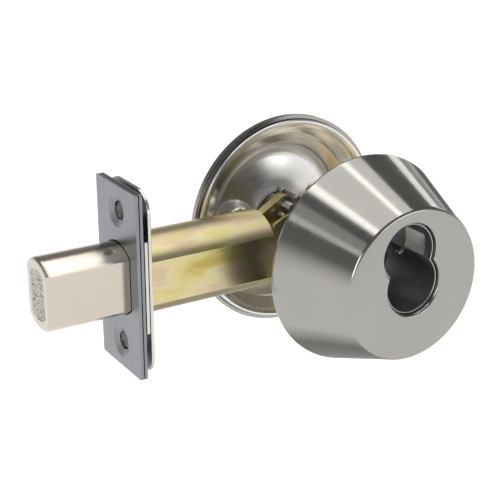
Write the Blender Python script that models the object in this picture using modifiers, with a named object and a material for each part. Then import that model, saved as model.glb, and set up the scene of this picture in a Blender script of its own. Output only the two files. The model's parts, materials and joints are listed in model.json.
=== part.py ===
"""Tubular deadbolt lock with an interchangeable-core cylinder outside and a thumbturn inside.

Frame: the origin is where the cylinder's axis (Y) crosses the bolt's axis (X). The bolt comes out
of the door's edge towards -X, outdoors is -Y and up is +Z. The bolt is modelled thrown.
"""

import math

import bmesh
import bpy
from mathutils import Matrix

MM = 0.001
GAP = 0.3 * MM                          # kept between neighbouring solids

# Door preparation
BACKSET = 69.85 * MM                    # cylinder axis to the front of the faceplate
DOOR_OUTSIDE = -24.5 * MM               # outdoor face of the door
DOOR_THICKNESS = 40.0 * MM
DOOR_INSIDE = DOOR_OUTSIDE + DOOR_THICKNESS

# Bolt
BOLT_RADIUS = 11.0 * MM
BOLT_HALF_FLATS = 7.8 * MM
BOLT_THROW = 25.4 * MM
BOLT_LENGTH = 41.25 * MM
BOLT_EDGE = 1.2 * MM                    # rounding of the nose
CORE_PIN_RADIUS = 2.9 * MM              # loose hardened pin inside the bolt
CORE_PIN_COVER = 4.6 * MM               # bolt metal in front of that pin

# Front plates, tube and side frames
PLATE_WIDTH = 25.4 * MM
PLATE_HEIGHT = 57.15 * MM
FACEPLATE_THICKNESS = 1.0 * MM
BACKING_THICKNESS = 0.9 * MM
BUSHING_FLANGE = 0.95 * MM
BUSHING_HEIGHT = 28.6 * MM
BUSHING_LENGTH = 9.0 * MM               # reach of its cheeks behind the flange
BRACKET_THICKNESS = 1.0 * MM
BRACKET_CORNER = 7.0 * MM
PLATE_SCREW_OFFSET = 20.6 * MM
PLATE_SCREW_RADIUS = 2.8 * MM
PLATE_SINK_RADIUS = 4.8 * MM
TUBE_WALL = 0.9 * MM
TUBE_SIDE_ROOM = 1.5 * MM               # from a bolt flat to the tube's flat
TUBE_END = -22.0 * MM
FRAME_THICKNESS = 1.2 * MM
FRAME_TONGUE = 6.0 * MM                 # length of the frame that stands inside the tube
FRAME_REAR = 21.0 * MM
FRAME_HALF_HEIGHT = 12.0 * MM
FRAME_SHOULDER = 4.7 * MM               # sloped corner of the frame
RIVET_RADIUS = 1.5 * MM
RIVET_PLACES = {"front": (-25.0 * MM, -4.3 * MM), "lower": (0.0, -9.9 * MM), "rear": (18.0 * MM, 7.6 * MM)}

# Crank, which swings a quarter turn
CRANK_SWING = math.radians(90)
CRANK_HUB_RADIUS = 7.0 * MM
CRANK_JOURNAL_RADIUS = 5.4 * MM
CRANK_PIN_RADIUS = 1.5 * MM
CRANK_PIN_PLAY = 1.18 * MM              # side room in the slot, as the slide and the turn share one ratio
FORK_PRONG = 1.9 * MM
FORK_INNER = 2.6 * MM
FORK_THICKNESS = 3.0 * MM
FORK_OPEN_END = 1.25 * MM               # slot's reach past the pin's centre at either end of the throw

# Bolt tail
TAIL_THICKNESS = 3.2 * MM
TAIL_HEIGHT = 3.2 * MM
TAIL_ROOM_OVER_HUB = 0.6 * MM
TAIL_ROOT_LENGTH = 8.0 * MM             # part that is let into the bolt
TAIL_ROOT_DEPTH = 6.6 * MM
TAIL_EYE_RADIUS = 3.0 * MM
TAIL_RIVET_RADIUS = 1.0 * MM

# Drive between the cylinder, the crank and the thumbturn
BLADE_HALF_HEIGHT = 3.2 * MM
BLADE_HALF_WIDTH = 1.1 * MM
THROW_RADIUS = 6.0 * MM
THROW_FLANGE_RADIUS = 8.2 * MM
THROW_FLANGE = 2.3 * MM
THROW_REACH = 3.8 * MM                  # shaft behind the housing's back wall
THROW_NECK_RADIUS = 5.0 * MM
THROW_PRONG_RADIUS = 1.1 * MM
THROW_PRONG_OFFSET = 2.9 * MM
THROW_PRONG_LENGTH = 5.7 * MM
RETAINER_RADIUS = 8.6 * MM
RETAINER_THICKNESS = 1.0 * MM

# Outside cylinder
COLLAR_LENGTH = 26.0 * MM
COLLAR_BASE_RADIUS = 33.0 * MM
COLLAR_FACE_RADIUS = 23.1 * MM
COLLAR_WALL = 3.0 * MM
COLLAR_EDGE = 0.9 * MM
LOBE_SPACING = 9.8 * MM                 # between the centres of the core opening's two lobes
LOBE_RADIUS = 8.7 * MM                  # of the housing's socket
LOBE_STEP = 0.6 * MM                    # how much wider the collar's opening is
SOCKET_LEAN = math.radians(10)          # the socket leans this much towards the bolt
SOCKET_DEPTH = 24.2 * MM
HOUSING_RADIUS = 20.0 * MM
HOUSING_BACK_WALL = 3.0 * MM
LUG_SLOT = (4.0 * MM, 9.0 * MM, 6.5 * MM)   # depth into the wall, along the socket, height
LUG_SLOT_START = 1.2 * MM               # behind the housing's front
LUG_SLOT_RISE = 9.8 * MM                # above the cylinder's axis
STOP_PIN_RADIUS = 0.9 * MM
STOP_PIN_DEPTH = 14.2 * MM              # behind the housing's front
STOP_PIN_RISE = 2.9 * MM
STOP_PIN_REACH = 0.9 * MM               # into the socket

# Mounting screws, which run from the rose into posts on the housing
SCREW_OFFSET = 15.8 * MM
SCREW_RADIUS = 2.1 * MM
SCREW_HEAD_RADIUS = 4.4 * MM
SCREW_HEAD_SINK = 2.4 * MM
SCREW_DRIVE = (0.5 * MM, 3.2 * MM, 1.1 * MM)    # half width, half length and depth of the recess
SCREW_ENGAGEMENT = 6.0 * MM
POST_RADIUS = 4.2 * MM
POST_LENGTH = 8.0 * MM

# Inside rose; distances called rise are measured from the door's indoor face
ROSE_RADIUS = 35.2 * MM
ROSE_COVER_THICKNESS = 0.9 * MM
ROSE_WALL_START = 1.5 * MM
ROSE_WALL_END = 3.7 * MM
ROSE_SHOULDER = 1.0 * MM
ROSE_DOME_RISE = 16.0 * MM
ROSE_DOME_POWER = 2.6
ROSE_PLATE_THICKNESS = 0.9 * MM
ROSE_STEPS = ((33.86, 0.0), (33.1, 0.0), (32.43, 1.0), (31.35, 2.0), (28.37, 5.75))
ROSE_BOWL = ((24.74, 8.25), (20.2, 10.7), (15.0, 11.5), (11.6, 10.2), (10.2, 7.6), (9.6, 6.3), (8.7, 6.0))
DIMPLE_BASE_RADIUS = 6.8 * MM
DIMPLE_TIP_RADIUS = 5.4 * MM
DIMPLE_TIP_RISE = 5.2 * MM
DIMPLE_WALL = 1.0 * MM
DIMPLE_HOLE_RADIUS = 3.4 * MM
SCREW_ACCESS_RADIUS = 5.6 * MM

# Thumbturn
SPINDLE_RADIUS = 4.6 * MM
SPINDLE_START_RISE = 4.6 * MM
SPINDLE_LET_IN = 5.7 * MM               # reach inside the thumbturn
SPINDLE_SLOT_DEPTH = 9.0 * MM
BUSHING_RADIUS = 8.2 * MM
BUSHING_RIM_RADIUS = 11.0 * MM
BUSHING_RIM = 0.9 * MM
NUT_RADIUS = 8.0 * MM
NUT_BAND = 1.0 * MM
NUT_TEETH = 8
NUT_THICKNESS = 0.7 * MM
NUT_RISE = 6.1 * MM
TURN_HUB_RADIUS = 8.6 * MM
TURN_HUB_LENGTH = 6.0 * MM
TURN_GRIP_LENGTH = 33.0 * MM
TURN_GRIP_WIDTH = 9.0 * MM
TURN_GRIP_HEIGHT = 9.0 * MM
TURN_EDGE = 1.2 * MM
TURN_PIN_RADIUS = 0.8 * MM

RIM_STEPS = 48                          # facets round a large piece
ROUND_STEPS = 24                        # facets round a small one
PIN_STEPS = 16                          # facets round a pin under 3 mm across
DOME_RINGS = 8                          # facets from the rose's hole to its shoulder

# Values that follow from those above
FACE_X = -BACKSET
BOLT_NOSE = FACE_X - BOLT_THROW
BOLT_REAR = BOLT_NOSE + BOLT_LENGTH
BACKING_X = FACE_X + FACEPLATE_THICKNESS + GAP
BUSHING_X = BACKING_X + BACKING_THICKNESS + GAP
BRACKET_X = BUSHING_X + BUSHING_FLANGE + GAP
TUBE_START = BRACKET_X + BRACKET_THICKNESS + GAP
TUBE_BORE_RADIUS = BOLT_RADIUS + GAP
TUBE_BORE_HALF_FLATS = BOLT_HALF_FLATS + TUBE_SIDE_ROOM
FRAME_OUTER_Y = TUBE_BORE_HALF_FLATS - GAP
FRAME_INNER_Y = FRAME_OUTER_Y - FRAME_THICKNESS
PIN_HEIGHT = BOLT_THROW / 2 / math.tan(CRANK_SWING / 2)
PIN_START_X = -BOLT_THROW / 2
TAIL_BOTTOM = CRANK_HUB_RADIUS + TAIL_ROOM_OVER_HUB
TAIL_TOP = TAIL_BOTTOM + TAIL_HEIGHT
COLLAR_FACE_Y = DOOR_OUTSIDE - COLLAR_LENGTH
HOUSING_FRONT_Y = COLLAR_FACE_Y + COLLAR_WALL + GAP
SOCKET_END_Y = HOUSING_FRONT_Y + SOCKET_DEPTH
HOUSING_REAR_Y = SOCKET_END_Y + HOUSING_BACK_WALL
POST_END_Y = HOUSING_REAR_Y + POST_LENGTH
DOME_TOP_Y = DOOR_INSIDE + ROSE_DOME_RISE
TURN_BASE_Y = DOME_TOP_Y + GAP
SPINDLE_START_Y = DOOR_INSIDE + SPINDLE_START_RISE
SPINDLE_END_Y = TURN_BASE_Y + SPINDLE_LET_IN
DIMPLE_TIP_Y = DOOR_INSIDE + DIMPLE_TIP_RISE

# Turns that lay a shape's own Z along the frame's X or Y
ALONG_X = Matrix(((0, 0, 1), (1, 0, 0), (0, 1, 0)))
ALONG_Y = Matrix(((1, 0, 0), (0, 0, 1), (0, -1, 0)))
ACROSS_Y = Matrix(((1, 0, 0), (0, 0, -1), (0, 1, 0)))   # keeps an outline's second value upright
ALONG_Z = Matrix.Identity(3)

FINISHES = {
    "satin_steel": ((0.62, 0.60, 0.57), 0.28, 1.0),
    "dark_steel": ((0.16, 0.16, 0.17), 0.42, 1.0),
    "hard_steel": ((0.45, 0.45, 0.47), 0.35, 1.0),
    "plate_steel": ((0.48, 0.51, 0.55), 0.38, 1.0),
    "nickel": ((0.70, 0.66, 0.60), 0.30, 1.0),
    "yellow_zinc": ((0.72, 0.62, 0.33), 0.34, 1.0),
    "rose_steel": ((0.66, 0.65, 0.63), 0.32, 1.0),
    "dark_nylon": ((0.03, 0.03, 0.035), 0.55, 0.0),
}


def clear_scene():
    """Remove whatever the file opened with."""
    for thing in list(bpy.data.objects):
        bpy.data.objects.remove(thing, do_unlink=True)


def new_collection(name):
    """Make a collection in the scene."""
    group = bpy.data.collections.new(name)
    bpy.context.scene.collection.children.link(group)
    return group


def new_material(name, finish):
    """Make one part's own material from a named finish."""
    colour, roughness, metallic = FINISHES[finish]
    material = bpy.data.materials.new(name)
    material.use_nodes = True
    shader = material.node_tree.nodes["Principled BSDF"]
    shader.inputs["Base Color"].default_value = (*colour, 1.0)
    shader.inputs["Roughness"].default_value = roughness
    shader.inputs["Metallic"].default_value = metallic
    material.diffuse_color = (*colour, 1.0)
    return material


def place(name, mesh, turn=ALONG_Z, at=(0.0, 0.0, 0.0)):
    """Put a mesh in the tools collection as a guide; publish() turns it into a part."""
    piece = bpy.data.objects.new(name, mesh)
    TOOLS.objects.link(piece)
    piece.matrix_world = Matrix.Translation(at) @ turn.to_4x4()
    piece.hide_render = True
    piece.display_type = "WIRE"
    return piece


def publish(piece, finish):
    """Move a finished piece into the parts collection with its own material."""
    TOOLS.objects.unlink(piece)
    PARTS.objects.link(piece)
    piece.hide_render = False
    piece.display_type = "TEXTURED"
    piece.data.materials.clear()
    piece.data.materials.append(new_material(piece.name, finish))
    piece.data.shade_smooth()
    piece.data.set_sharp_from_angle(angle=math.radians(35))
    return piece


def mesh_from(name, build):
    """Make a mesh with a function that fills a bmesh."""
    cage = bmesh.new()
    build(cage)
    mesh = bpy.data.meshes.new(name)
    cage.to_mesh(mesh)
    cage.free()
    return mesh


def cone(name, start_radius, end_radius, start, end, turn, centre=(0.0, 0.0), steps=ROUND_STEPS):
    """Make a cylinder or cone from start to end along an axis, centred on a point across it."""
    def build(cage):
        bmesh.ops.create_cone(cage, cap_ends=True, segments=steps, radius1=start_radius,
                              radius2=end_radius, depth=end - start)
    middle = (start + end) / 2
    if turn is ALONG_X:
        spot = (middle, centre[0], centre[1])
    elif turn is ALONG_Y:
        spot = (centre[0], middle, centre[1])
    else:
        spot = (centre[0], centre[1], middle)
    return place(name, mesh_from(name, build), turn, spot)


def rod(name, radius, start, end, turn, centre=(0.0, 0.0), steps=ROUND_STEPS):
    """Make a plain cylinder."""
    return cone(name, radius, radius, start, end, turn, centre, steps)


def block(name, low, high):
    """Make a box from its lowest corner to its highest."""
    size = [top - bottom for bottom, top in zip(low, high)]
    middle = [(top + bottom) / 2 for bottom, top in zip(low, high)]

    def build(cage):
        bmesh.ops.create_cube(cage, size=1.0, matrix=Matrix.Diagonal((*size, 1.0)))
    return place(name, mesh_from(name, build), ALONG_Z, middle)


def lathe(name, profile, closed=True, steps=RIM_STEPS):
    """Turn a profile of (radius, y) points round the Y axis, outer side first, from high y to low."""
    mesh = bpy.data.meshes.new(name)
    count = len(profile)
    edges = [(i, (i + 1) % count) for i in range(count if closed else count - 1)]
    mesh.from_pydata([(radius, 0.0, height) for radius, height in profile], edges, [])
    piece = place(name, mesh, ALONG_Y)
    screw = piece.modifiers.new("Turn", "SCREW")
    screw.steps = screw.render_steps = steps
    screw.use_merge_vertices = True
    screw.merge_threshold = 0.000001
    return piece


def sheet(name, profile, thickness, steps=RIM_STEPS):
    """Turn an open profile and give it a wall on the side away from its face."""
    piece = lathe(name, profile, closed=False, steps=steps)
    wall = piece.modifiers.new("Wall", "SOLIDIFY")
    wall.thickness = thickness
    wall.offset = -1.0
    wall.use_even_offset = True
    return piece


def prism(name, outlines, turn, start, end):
    """Extrude flat outlines, the outer one first and holes after it, from start to end."""
    curve = bpy.data.curves.new(name, "CURVE")
    curve.dimensions = "2D"
    curve.fill_mode = "BOTH"
    curve.extrude = (end - start) / 2
    for outline in outlines:
        spline = curve.splines.new("POLY")
        spline.points.add(len(outline) - 1)
        for point, (across, up) in zip(spline.points, outline):
            point.co = (across, up, 0.0, 1.0)
        spline.use_cyclic_u = True
    shape = place(name, curve)
    bpy.context.view_layer.update()
    mesh = bpy.data.meshes.new_from_object(shape.evaluated_get(bpy.context.evaluated_depsgraph_get()))
    bpy.data.objects.remove(shape, do_unlink=True)
    cage = bmesh.new()
    cage.from_mesh(mesh)
    bmesh.ops.remove_doubles(cage, verts=cage.verts, dist=0.000001)
    cage.to_mesh(mesh)
    cage.free()
    middle = (start + end) / 2
    return place(name, mesh, turn, (middle, 0, 0) if turn is ALONG_X else (0, middle, 0))


def combine(piece, tool, operation):
    """Add a Boolean of one object with another."""
    step = piece.modifiers.new(tool.name, "BOOLEAN")
    step.solver = "EXACT"
    step.operation = operation
    step.object = tool


def cut(piece, *tools):
    """Take tools away from a piece."""
    for tool in tools:
        combine(piece, tool, "DIFFERENCE")


def join(piece, *tools):
    """Add tools to a piece."""
    for tool in tools:
        combine(piece, tool, "UNION")


def arc(centre, radius, start, end, count):
    """Points along an arc, angles in radians, both ends included."""
    angles = [start + (end - start) * i / (count - 1) for i in range(count)]
    return [(centre[0] + radius * math.cos(a), centre[1] + radius * math.sin(a)) for a in angles]


def circle(centre, radius, count=ROUND_STEPS):
    """Points round a circle."""
    return arc(centre, radius, 0.0, 2 * math.pi * (count - 1) / count, count)


def flatted(radius, half_flats, count=10):
    """A circle with two flats, as (y, z) points."""
    top = math.acos(half_flats / radius)
    upper = arc((0.0, 0.0), radius, top, math.pi - top, count)
    return upper + [(-y, -z) for y, z in upper]


def rectangle(half_width, half_height):
    """A rectangle's corners."""
    return [(-half_width, -half_height), (half_width, -half_height),
            (half_width, half_height), (-half_width, half_height)]


def rounded_rectangle(half_width, half_height, radius, count=6):
    """A rectangle with round corners."""
    quarter = math.pi / 2
    corners = ((1, 1), (-1, 1), (-1, -1), (1, -1))
    points = []
    for i, (side, level) in enumerate(corners):
        centre = (side * (half_width - radius), level * (half_height - radius))
        points += arc(centre, radius, i * quarter, (i + 1) * quarter, count)
    return points


def rotated(points, angle):
    """Points turned anticlockwise about the origin."""
    c, s = math.cos(angle), math.sin(angle)
    return [(c * u - s * v, s * u + c * v) for u, v in points]


def core_outline(radius, count=15):
    """The two overlapping lobes of an interchangeable core, leaning as the socket does."""
    waist = math.asin(LOBE_SPACING / 2 / radius)
    lower = arc((0.0, 0.0), radius, math.pi - waist, 2 * math.pi + waist, count)
    upper = arc((0.0, LOBE_SPACING), radius, -waist, math.pi + waist, count)
    return rotated(lower[:-1] + upper[:-1], SOCKET_LEAN)


def smooth_profile(points, steps):
    """A Catmull-Rom curve through points, with a number of steps on each stretch."""
    ends = [points[0], *points, points[-1]]
    curve = []
    for a, b, c, d in zip(ends, ends[1:], ends[2:], ends[3:]):
        for i in range(steps):
            t = i / steps
            curve.append(tuple(
                0.5 * (2 * q + (r - p) * t + (2 * p - 5 * q + 4 * r - s) * t ** 2
                       + (3 * q - p - 3 * r + s) * t ** 3)
                for p, q, r, s in zip(a, b, c, d)))
    return curve + [points[-1]]


def blade_slot(name, start, end):
    """Cutter for the slot that takes the tailpiece."""
    width, height = BLADE_HALF_WIDTH + GAP, BLADE_HALF_HEIGHT + GAP
    return block(name, (-width, start, -height), (width, end, height))


def bevel_nose(mesh, width):
    """Round the edges of a prism's low end, which becomes the bolt's nose."""
    cage = bmesh.new()
    cage.from_mesh(mesh)
    low = min(vertex.co.z for vertex in cage.verts)
    nose = [edge for edge in cage.edges
            if all(abs(vertex.co.z - low) < GAP / 10 for vertex in edge.verts)
            and any(abs(face.normal.z) < 0.5 for face in edge.link_faces)]
    bmesh.ops.bevel(cage, geom=nose, affect="EDGES", offset=width, segments=3, profile=0.5,
                    clamp_overlap=True, material=-1)
    cage.to_mesh(mesh)
    cage.free()


def build_front_plates():
    """The faceplate, its backing plate, the bushing and the bracket that carries the tube."""
    hole = flatted(BOLT_RADIUS + GAP, BOLT_HALF_FLATS + GAP)
    screw_holes = [circle((0.0, side * PLATE_SCREW_OFFSET), PLATE_SCREW_RADIUS) for side in (-1, 1)]
    outline = rectangle(PLATE_WIDTH / 2, PLATE_HEIGHT / 2)

    faceplate = prism("faceplate", [outline, hole, *screw_holes], ALONG_X,
                      FACE_X, FACE_X + FACEPLATE_THICKNESS)
    for side in (-1, 1):
        cut(faceplate, cone("faceplate_sink", PLATE_SINK_RADIUS + GAP, PLATE_SCREW_RADIUS, FACE_X - GAP,
                            FACE_X + FACEPLATE_THICKNESS, ALONG_X, (0.0, side * PLATE_SCREW_OFFSET)))
    publish(faceplate, "plate_steel")

    backing = prism("backing_plate", [outline, hole, *screw_holes], ALONG_X,
                    BACKING_X, BACKING_X + BACKING_THICKNESS)
    publish(backing, "nickel")

    bushing = prism("bolt_bushing", [rectangle(PLATE_WIDTH / 2, BUSHING_HEIGHT / 2), hole], ALONG_X,
                    BUSHING_X, BUSHING_X + BUSHING_FLANGE)
    cheek_y = TUBE_BORE_HALF_FLATS - GAP
    cheeks = prism("bushing_cheeks", [flatted(BOLT_RADIUS, cheek_y)], ALONG_X,
                   BUSHING_X + BUSHING_FLANGE / 2, BUSHING_X + BUSHING_FLANGE + BUSHING_LENGTH)
    channel_y = BOLT_HALF_FLATS + GAP
    cut(cheeks, block("bushing_channel", (BUSHING_X - GAP, -channel_y, -BOLT_RADIUS - GAP),
                      (BUSHING_X + BUSHING_FLANGE + BUSHING_LENGTH + GAP, channel_y, BOLT_RADIUS + GAP)))
    join(bushing, cheeks)
    publish(bushing, "nickel")

    tube_hole = flatted(TUBE_BORE_RADIUS, TUBE_BORE_HALF_FLATS)
    bracket_outline = rounded_rectangle(PLATE_WIDTH / 2, PLATE_HEIGHT / 2, BRACKET_CORNER)
    bracket = prism("latch_bracket", [bracket_outline, tube_hole, *screw_holes], ALONG_X,
                    BRACKET_X, BRACKET_X + BRACKET_THICKNESS)
    publish(bracket, "nickel")

    tube = prism("latch_tube",
                 [flatted(TUBE_BORE_RADIUS + TUBE_WALL, TUBE_BORE_HALF_FLATS + TUBE_WALL, 14),
                  flatted(TUBE_BORE_RADIUS, TUBE_BORE_HALF_FLATS, 14)],
                 ALONG_X, TUBE_START, TUBE_END)
    publish(tube, "yellow_zinc")


def build_bolt():
    """The bolt, the loose pin inside it, and the tail that the crank drives."""
    bolt = prism("bolt", [flatted(BOLT_RADIUS, BOLT_HALF_FLATS, 14)], ALONG_X, BOLT_NOSE, BOLT_REAR)
    bevel_nose(bolt.data, BOLT_EDGE)
    pin_start = BOLT_NOSE + CORE_PIN_COVER
    root_x = BOLT_REAR - TAIL_ROOT_LENGTH
    root_z = TAIL_TOP - TAIL_ROOT_DEPTH
    rivet_x = BOLT_REAR - TAIL_ROOT_LENGTH / 2
    rivet_z = TAIL_TOP - TAIL_ROOT_DEPTH / 2
    slot_y = TAIL_THICKNESS / 2 + GAP
    rivet_hole = rod("rivet_hole", TAIL_RIVET_RADIUS + GAP, -BOLT_RADIUS, BOLT_RADIUS, ALONG_Y,
                     (rivet_x, rivet_z))
    cut(bolt,
        rod("bolt_bore", CORE_PIN_RADIUS + GAP, pin_start, BOLT_REAR + GAP, ALONG_X),
        block("bolt_slot", (root_x - GAP, -slot_y, root_z - GAP),
              (BOLT_REAR + GAP, slot_y, BOLT_RADIUS + GAP)),
        rivet_hole)
    publish(bolt, "nickel")

    publish(rod("anti_saw_pin", CORE_PIN_RADIUS, pin_start + GAP, BOLT_REAR - GAP, ALONG_X), "hard_steel")

    eye = (PIN_START_X, PIN_HEIGHT)
    step_x = BOLT_REAR + GAP
    rise_x = TUBE_END + GAP
    outline = [(root_x, TAIL_TOP), (root_x, root_z), (step_x, root_z), (step_x, TAIL_BOTTOM),
               (eye[0], TAIL_BOTTOM)]
    outline += arc(eye, TAIL_EYE_RADIUS, -math.pi / 4, 3 * math.pi / 4, 12)
    outline.append((rise_x, TAIL_TOP))
    tail = prism("bolt_tail", [outline, circle(eye, CRANK_PIN_RADIUS + GAP)], ACROSS_Y,
                 -TAIL_THICKNESS / 2, TAIL_THICKNESS / 2)
    cut(tail, rivet_hole)
    publish(tail, "hard_steel")

    rivet_half = min(BOLT_HALF_FLATS, math.sqrt(BOLT_RADIUS ** 2 - (rivet_z + TAIL_RIVET_RADIUS) ** 2)) - GAP
    publish(rod("tail_rivet", TAIL_RIVET_RADIUS, -rivet_half, rivet_half, ALONG_Y, (rivet_x, rivet_z)),
            "hard_steel")
    pin_half = FORK_INNER + FORK_THICKNESS + GAP
    publish(rod("crank_pin", CRANK_PIN_RADIUS, -pin_half, pin_half, ALONG_Y, eye), "hard_steel")


def build_frames():
    """The two side frames behind the tube and the rivets that hold them apart."""
    tongue_start = TUBE_END - FRAME_TONGUE
    shoulder_x = TUBE_END + GAP
    tongue_z = math.sqrt((TUBE_BORE_RADIUS - GAP) ** 2 - FRAME_OUTER_Y ** 2)
    high = FRAME_HALF_HEIGHT
    upper = [(FRAME_REAR, high - FRAME_SHOULDER), (FRAME_REAR - FRAME_SHOULDER, high),
             (shoulder_x + FRAME_SHOULDER, high), (shoulder_x, high - FRAME_SHOULDER / 2),
             (shoulder_x, tongue_z), (tongue_start, tongue_z)]
    outline = upper + [(x, -z) for x, z in reversed(upper)]
    holes = [circle((0.0, 0.0), CRANK_JOURNAL_RADIUS + GAP)]
    holes += [circle((side * SCREW_OFFSET, 0.0), SCREW_RADIUS + 4 * GAP) for side in (-1, 1)]
    holes += [circle(spot, RIVET_RADIUS + GAP) for spot in RIVET_PLACES.values()]
    for name, start, end in (("frame_outer", -FRAME_OUTER_Y, -FRAME_INNER_Y),
                             ("frame_inner", FRAME_INNER_Y, FRAME_OUTER_Y)):
        publish(prism(name, [outline, *holes], ACROSS_Y, start, end), "yellow_zinc")
    for name, spot in RIVET_PLACES.items():
        publish(rod(f"frame_rivet_{name}", RIVET_RADIUS, -FRAME_OUTER_Y, FRAME_OUTER_Y, ALONG_Y, spot),
                "hard_steel")


def build_crank():
    """The hub with its two slotted fork plates, swung back to the thrown position."""
    slot_half = CRANK_PIN_RADIUS + CRANK_PIN_PLAY
    slot_start = PIN_HEIGHT - CRANK_PIN_RADIUS - GAP
    slot_end = PIN_HEIGHT / math.cos(CRANK_SWING / 2) + FORK_OPEN_END
    half = slot_half + FORK_PRONG
    tip = FORK_PRONG / 2
    prong = [(half, 0.0), (half, slot_end - tip), (half - tip / 2, slot_end), (slot_half, slot_end),
             (slot_half, slot_start)]
    outline = rotated(prong + [(-x, z) for x, z in reversed(prong)], CRANK_SWING / 2)

    journal_y = FRAME_OUTER_Y
    hub_y = FRAME_INNER_Y - GAP
    crank = rod("crank", CRANK_JOURNAL_RADIUS, -journal_y, journal_y, ALONG_Y)
    join(crank, rod("crank_hub", CRANK_HUB_RADIUS, -hub_y, hub_y, ALONG_Y))
    for side in (-1, 1):
        inner, outer = side * FORK_INNER, side * (FORK_INNER + FORK_THICKNESS)
        join(crank, prism("crank_fork", [outline], ACROSS_Y, min(inner, outer), max(inner, outer)))
    cut(crank, blade_slot("crank_slot", -journal_y - GAP, journal_y + GAP))
    publish(crank, "hard_steel")


def build_collar():
    """The cone-shaped guard over the outside cylinder, open at its face for the core."""
    slope = (COLLAR_BASE_RADIUS - COLLAR_FACE_RADIUS) / COLLAR_LENGTH
    face, base, edge = COLLAR_FACE_Y, DOOR_OUTSIDE, COLLAR_EDGE
    inner_face = face + COLLAR_WALL
    centre_hole = LOBE_RADIUS / 3
    quarter = math.pi / 2
    rounded = arc((COLLAR_FACE_RADIUS - edge, face + edge), edge, math.atan(slope), -quarter, 4)
    profile = [(COLLAR_BASE_RADIUS - edge, base), (COLLAR_BASE_RADIUS - edge / 4, base - edge / 4),
               (COLLAR_BASE_RADIUS - slope * edge, base - edge), *rounded,
               (centre_hole, face), (centre_hole, inner_face),
               (COLLAR_FACE_RADIUS + slope * COLLAR_WALL - COLLAR_WALL, inner_face),
               (COLLAR_BASE_RADIUS - COLLAR_WALL, base)]
    collar = lathe("cylinder_collar", profile)
    cut(collar, prism("collar_opening", [core_outline(LOBE_RADIUS + LOBE_STEP)], ACROSS_Y,
                      face - GAP, inner_face + GAP))
    publish(collar, "satin_steel")


def build_housing():
    """The core housing with its socket, lug slot and screw posts, and the stop pin in its wall."""
    posts = [(side * SCREW_OFFSET, 0.0) for side in (-1, 1)]
    housing = rod("core_housing", HOUSING_RADIUS, HOUSING_FRONT_Y, HOUSING_REAR_Y, ALONG_Y, steps=RIM_STEPS)
    join(housing, *[rod("post", POST_RADIUS, HOUSING_REAR_Y - GAP, POST_END_Y, ALONG_Y, spot)
                    for spot in posts])
    cut(housing, prism("socket", [core_outline(LOBE_RADIUS)], ACROSS_Y, HOUSING_FRONT_Y - GAP, SOCKET_END_Y))
    cut(housing, rod("throw_hole", THROW_RADIUS + GAP, SOCKET_END_Y - GAP, HOUSING_REAR_Y + GAP, ALONG_Y))
    depth, length, height = LUG_SLOT
    lug_x = LOBE_RADIUS - LOBE_SPACING * math.sin(SOCKET_LEAN)
    lug_y = HOUSING_FRONT_Y + LUG_SLOT_START
    cut(housing, block("lug_slot", (0.0, lug_y, LUG_SLOT_RISE - height / 2),
                       (lug_x + depth, lug_y + length, LUG_SLOT_RISE + height / 2)))
    screw_end = POST_END_Y - SCREW_ENGAGEMENT - GAP
    cut(housing, *[rod("post_hole", SCREW_RADIUS + GAP, screw_end, POST_END_Y + GAP, ALONG_Y, spot)
                   for spot in posts])
    pin_spot = (HOUSING_FRONT_Y + STOP_PIN_DEPTH, STOP_PIN_RISE)
    wall_x = math.sqrt(LOBE_RADIUS ** 2 - STOP_PIN_RISE ** 2)
    rim_x = math.sqrt(HOUSING_RADIUS ** 2 - STOP_PIN_RISE ** 2)
    cut(housing, rod("pin_hole", STOP_PIN_RADIUS + GAP, wall_x - GAP * 2, HOUSING_RADIUS + GAP, ALONG_X,
                     pin_spot, PIN_STEPS))
    publish(housing, "dark_steel")
    publish(rod("core_stop_pin", STOP_PIN_RADIUS, wall_x - STOP_PIN_REACH, rim_x - GAP, ALONG_X,
                pin_spot, PIN_STEPS), "nickel")


def build_drive():
    """The throw member that the core turns, its retaining clip, and the tailpiece."""
    flange_y = SOCKET_END_Y - GAP
    shaft_end = HOUSING_REAR_Y + THROW_REACH
    clip_y = HOUSING_REAR_Y + 2 * GAP
    throw = rod("throw_member", THROW_RADIUS, flange_y - THROW_FLANGE / 2, shaft_end, ALONG_Y)
    join(throw, rod("throw_flange", THROW_FLANGE_RADIUS, flange_y - THROW_FLANGE, flange_y, ALONG_Y))
    for side in (-1, 1):
        join(throw, rod("throw_prong", THROW_PRONG_RADIUS, flange_y - THROW_FLANGE - THROW_PRONG_LENGTH,
                        flange_y - THROW_FLANGE / 2, ALONG_Y, (side * THROW_PRONG_OFFSET, 0.0), PIN_STEPS))
    groove_rings = [circle((0.0, 0.0), THROW_FLANGE_RADIUS), circle((0.0, 0.0), THROW_NECK_RADIUS)]
    groove = prism("throw_groove", groove_rings, ACROSS_Y, clip_y - GAP, clip_y + RETAINER_THICKNESS + GAP)
    blade_start = HOUSING_REAR_Y
    cut(throw, groove, blade_slot("throw_slot", blade_start - GAP, shaft_end + GAP))
    publish(throw, "hard_steel")

    mouth = math.radians(50)
    hook = arc((0.0, 0.0), RETAINER_RADIUS, mouth - math.pi / 2, 3 * math.pi / 2 - mouth, 28)
    hook += arc((0.0, 0.0), THROW_NECK_RADIUS + GAP, 3 * math.pi / 2 - mouth, mouth - math.pi / 2, 28)
    publish(prism("throw_retainer", [hook], ACROSS_Y, clip_y, clip_y + RETAINER_THICKNESS), "hard_steel")

    blade_end = SPINDLE_START_Y + SPINDLE_SLOT_DEPTH - GAP
    tailpiece = block("tailpiece", (-BLADE_HALF_WIDTH, blade_start, -BLADE_HALF_HEIGHT),
                      (BLADE_HALF_WIDTH, blade_end, BLADE_HALF_HEIGHT))
    publish(tailpiece, "hard_steel")


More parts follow.
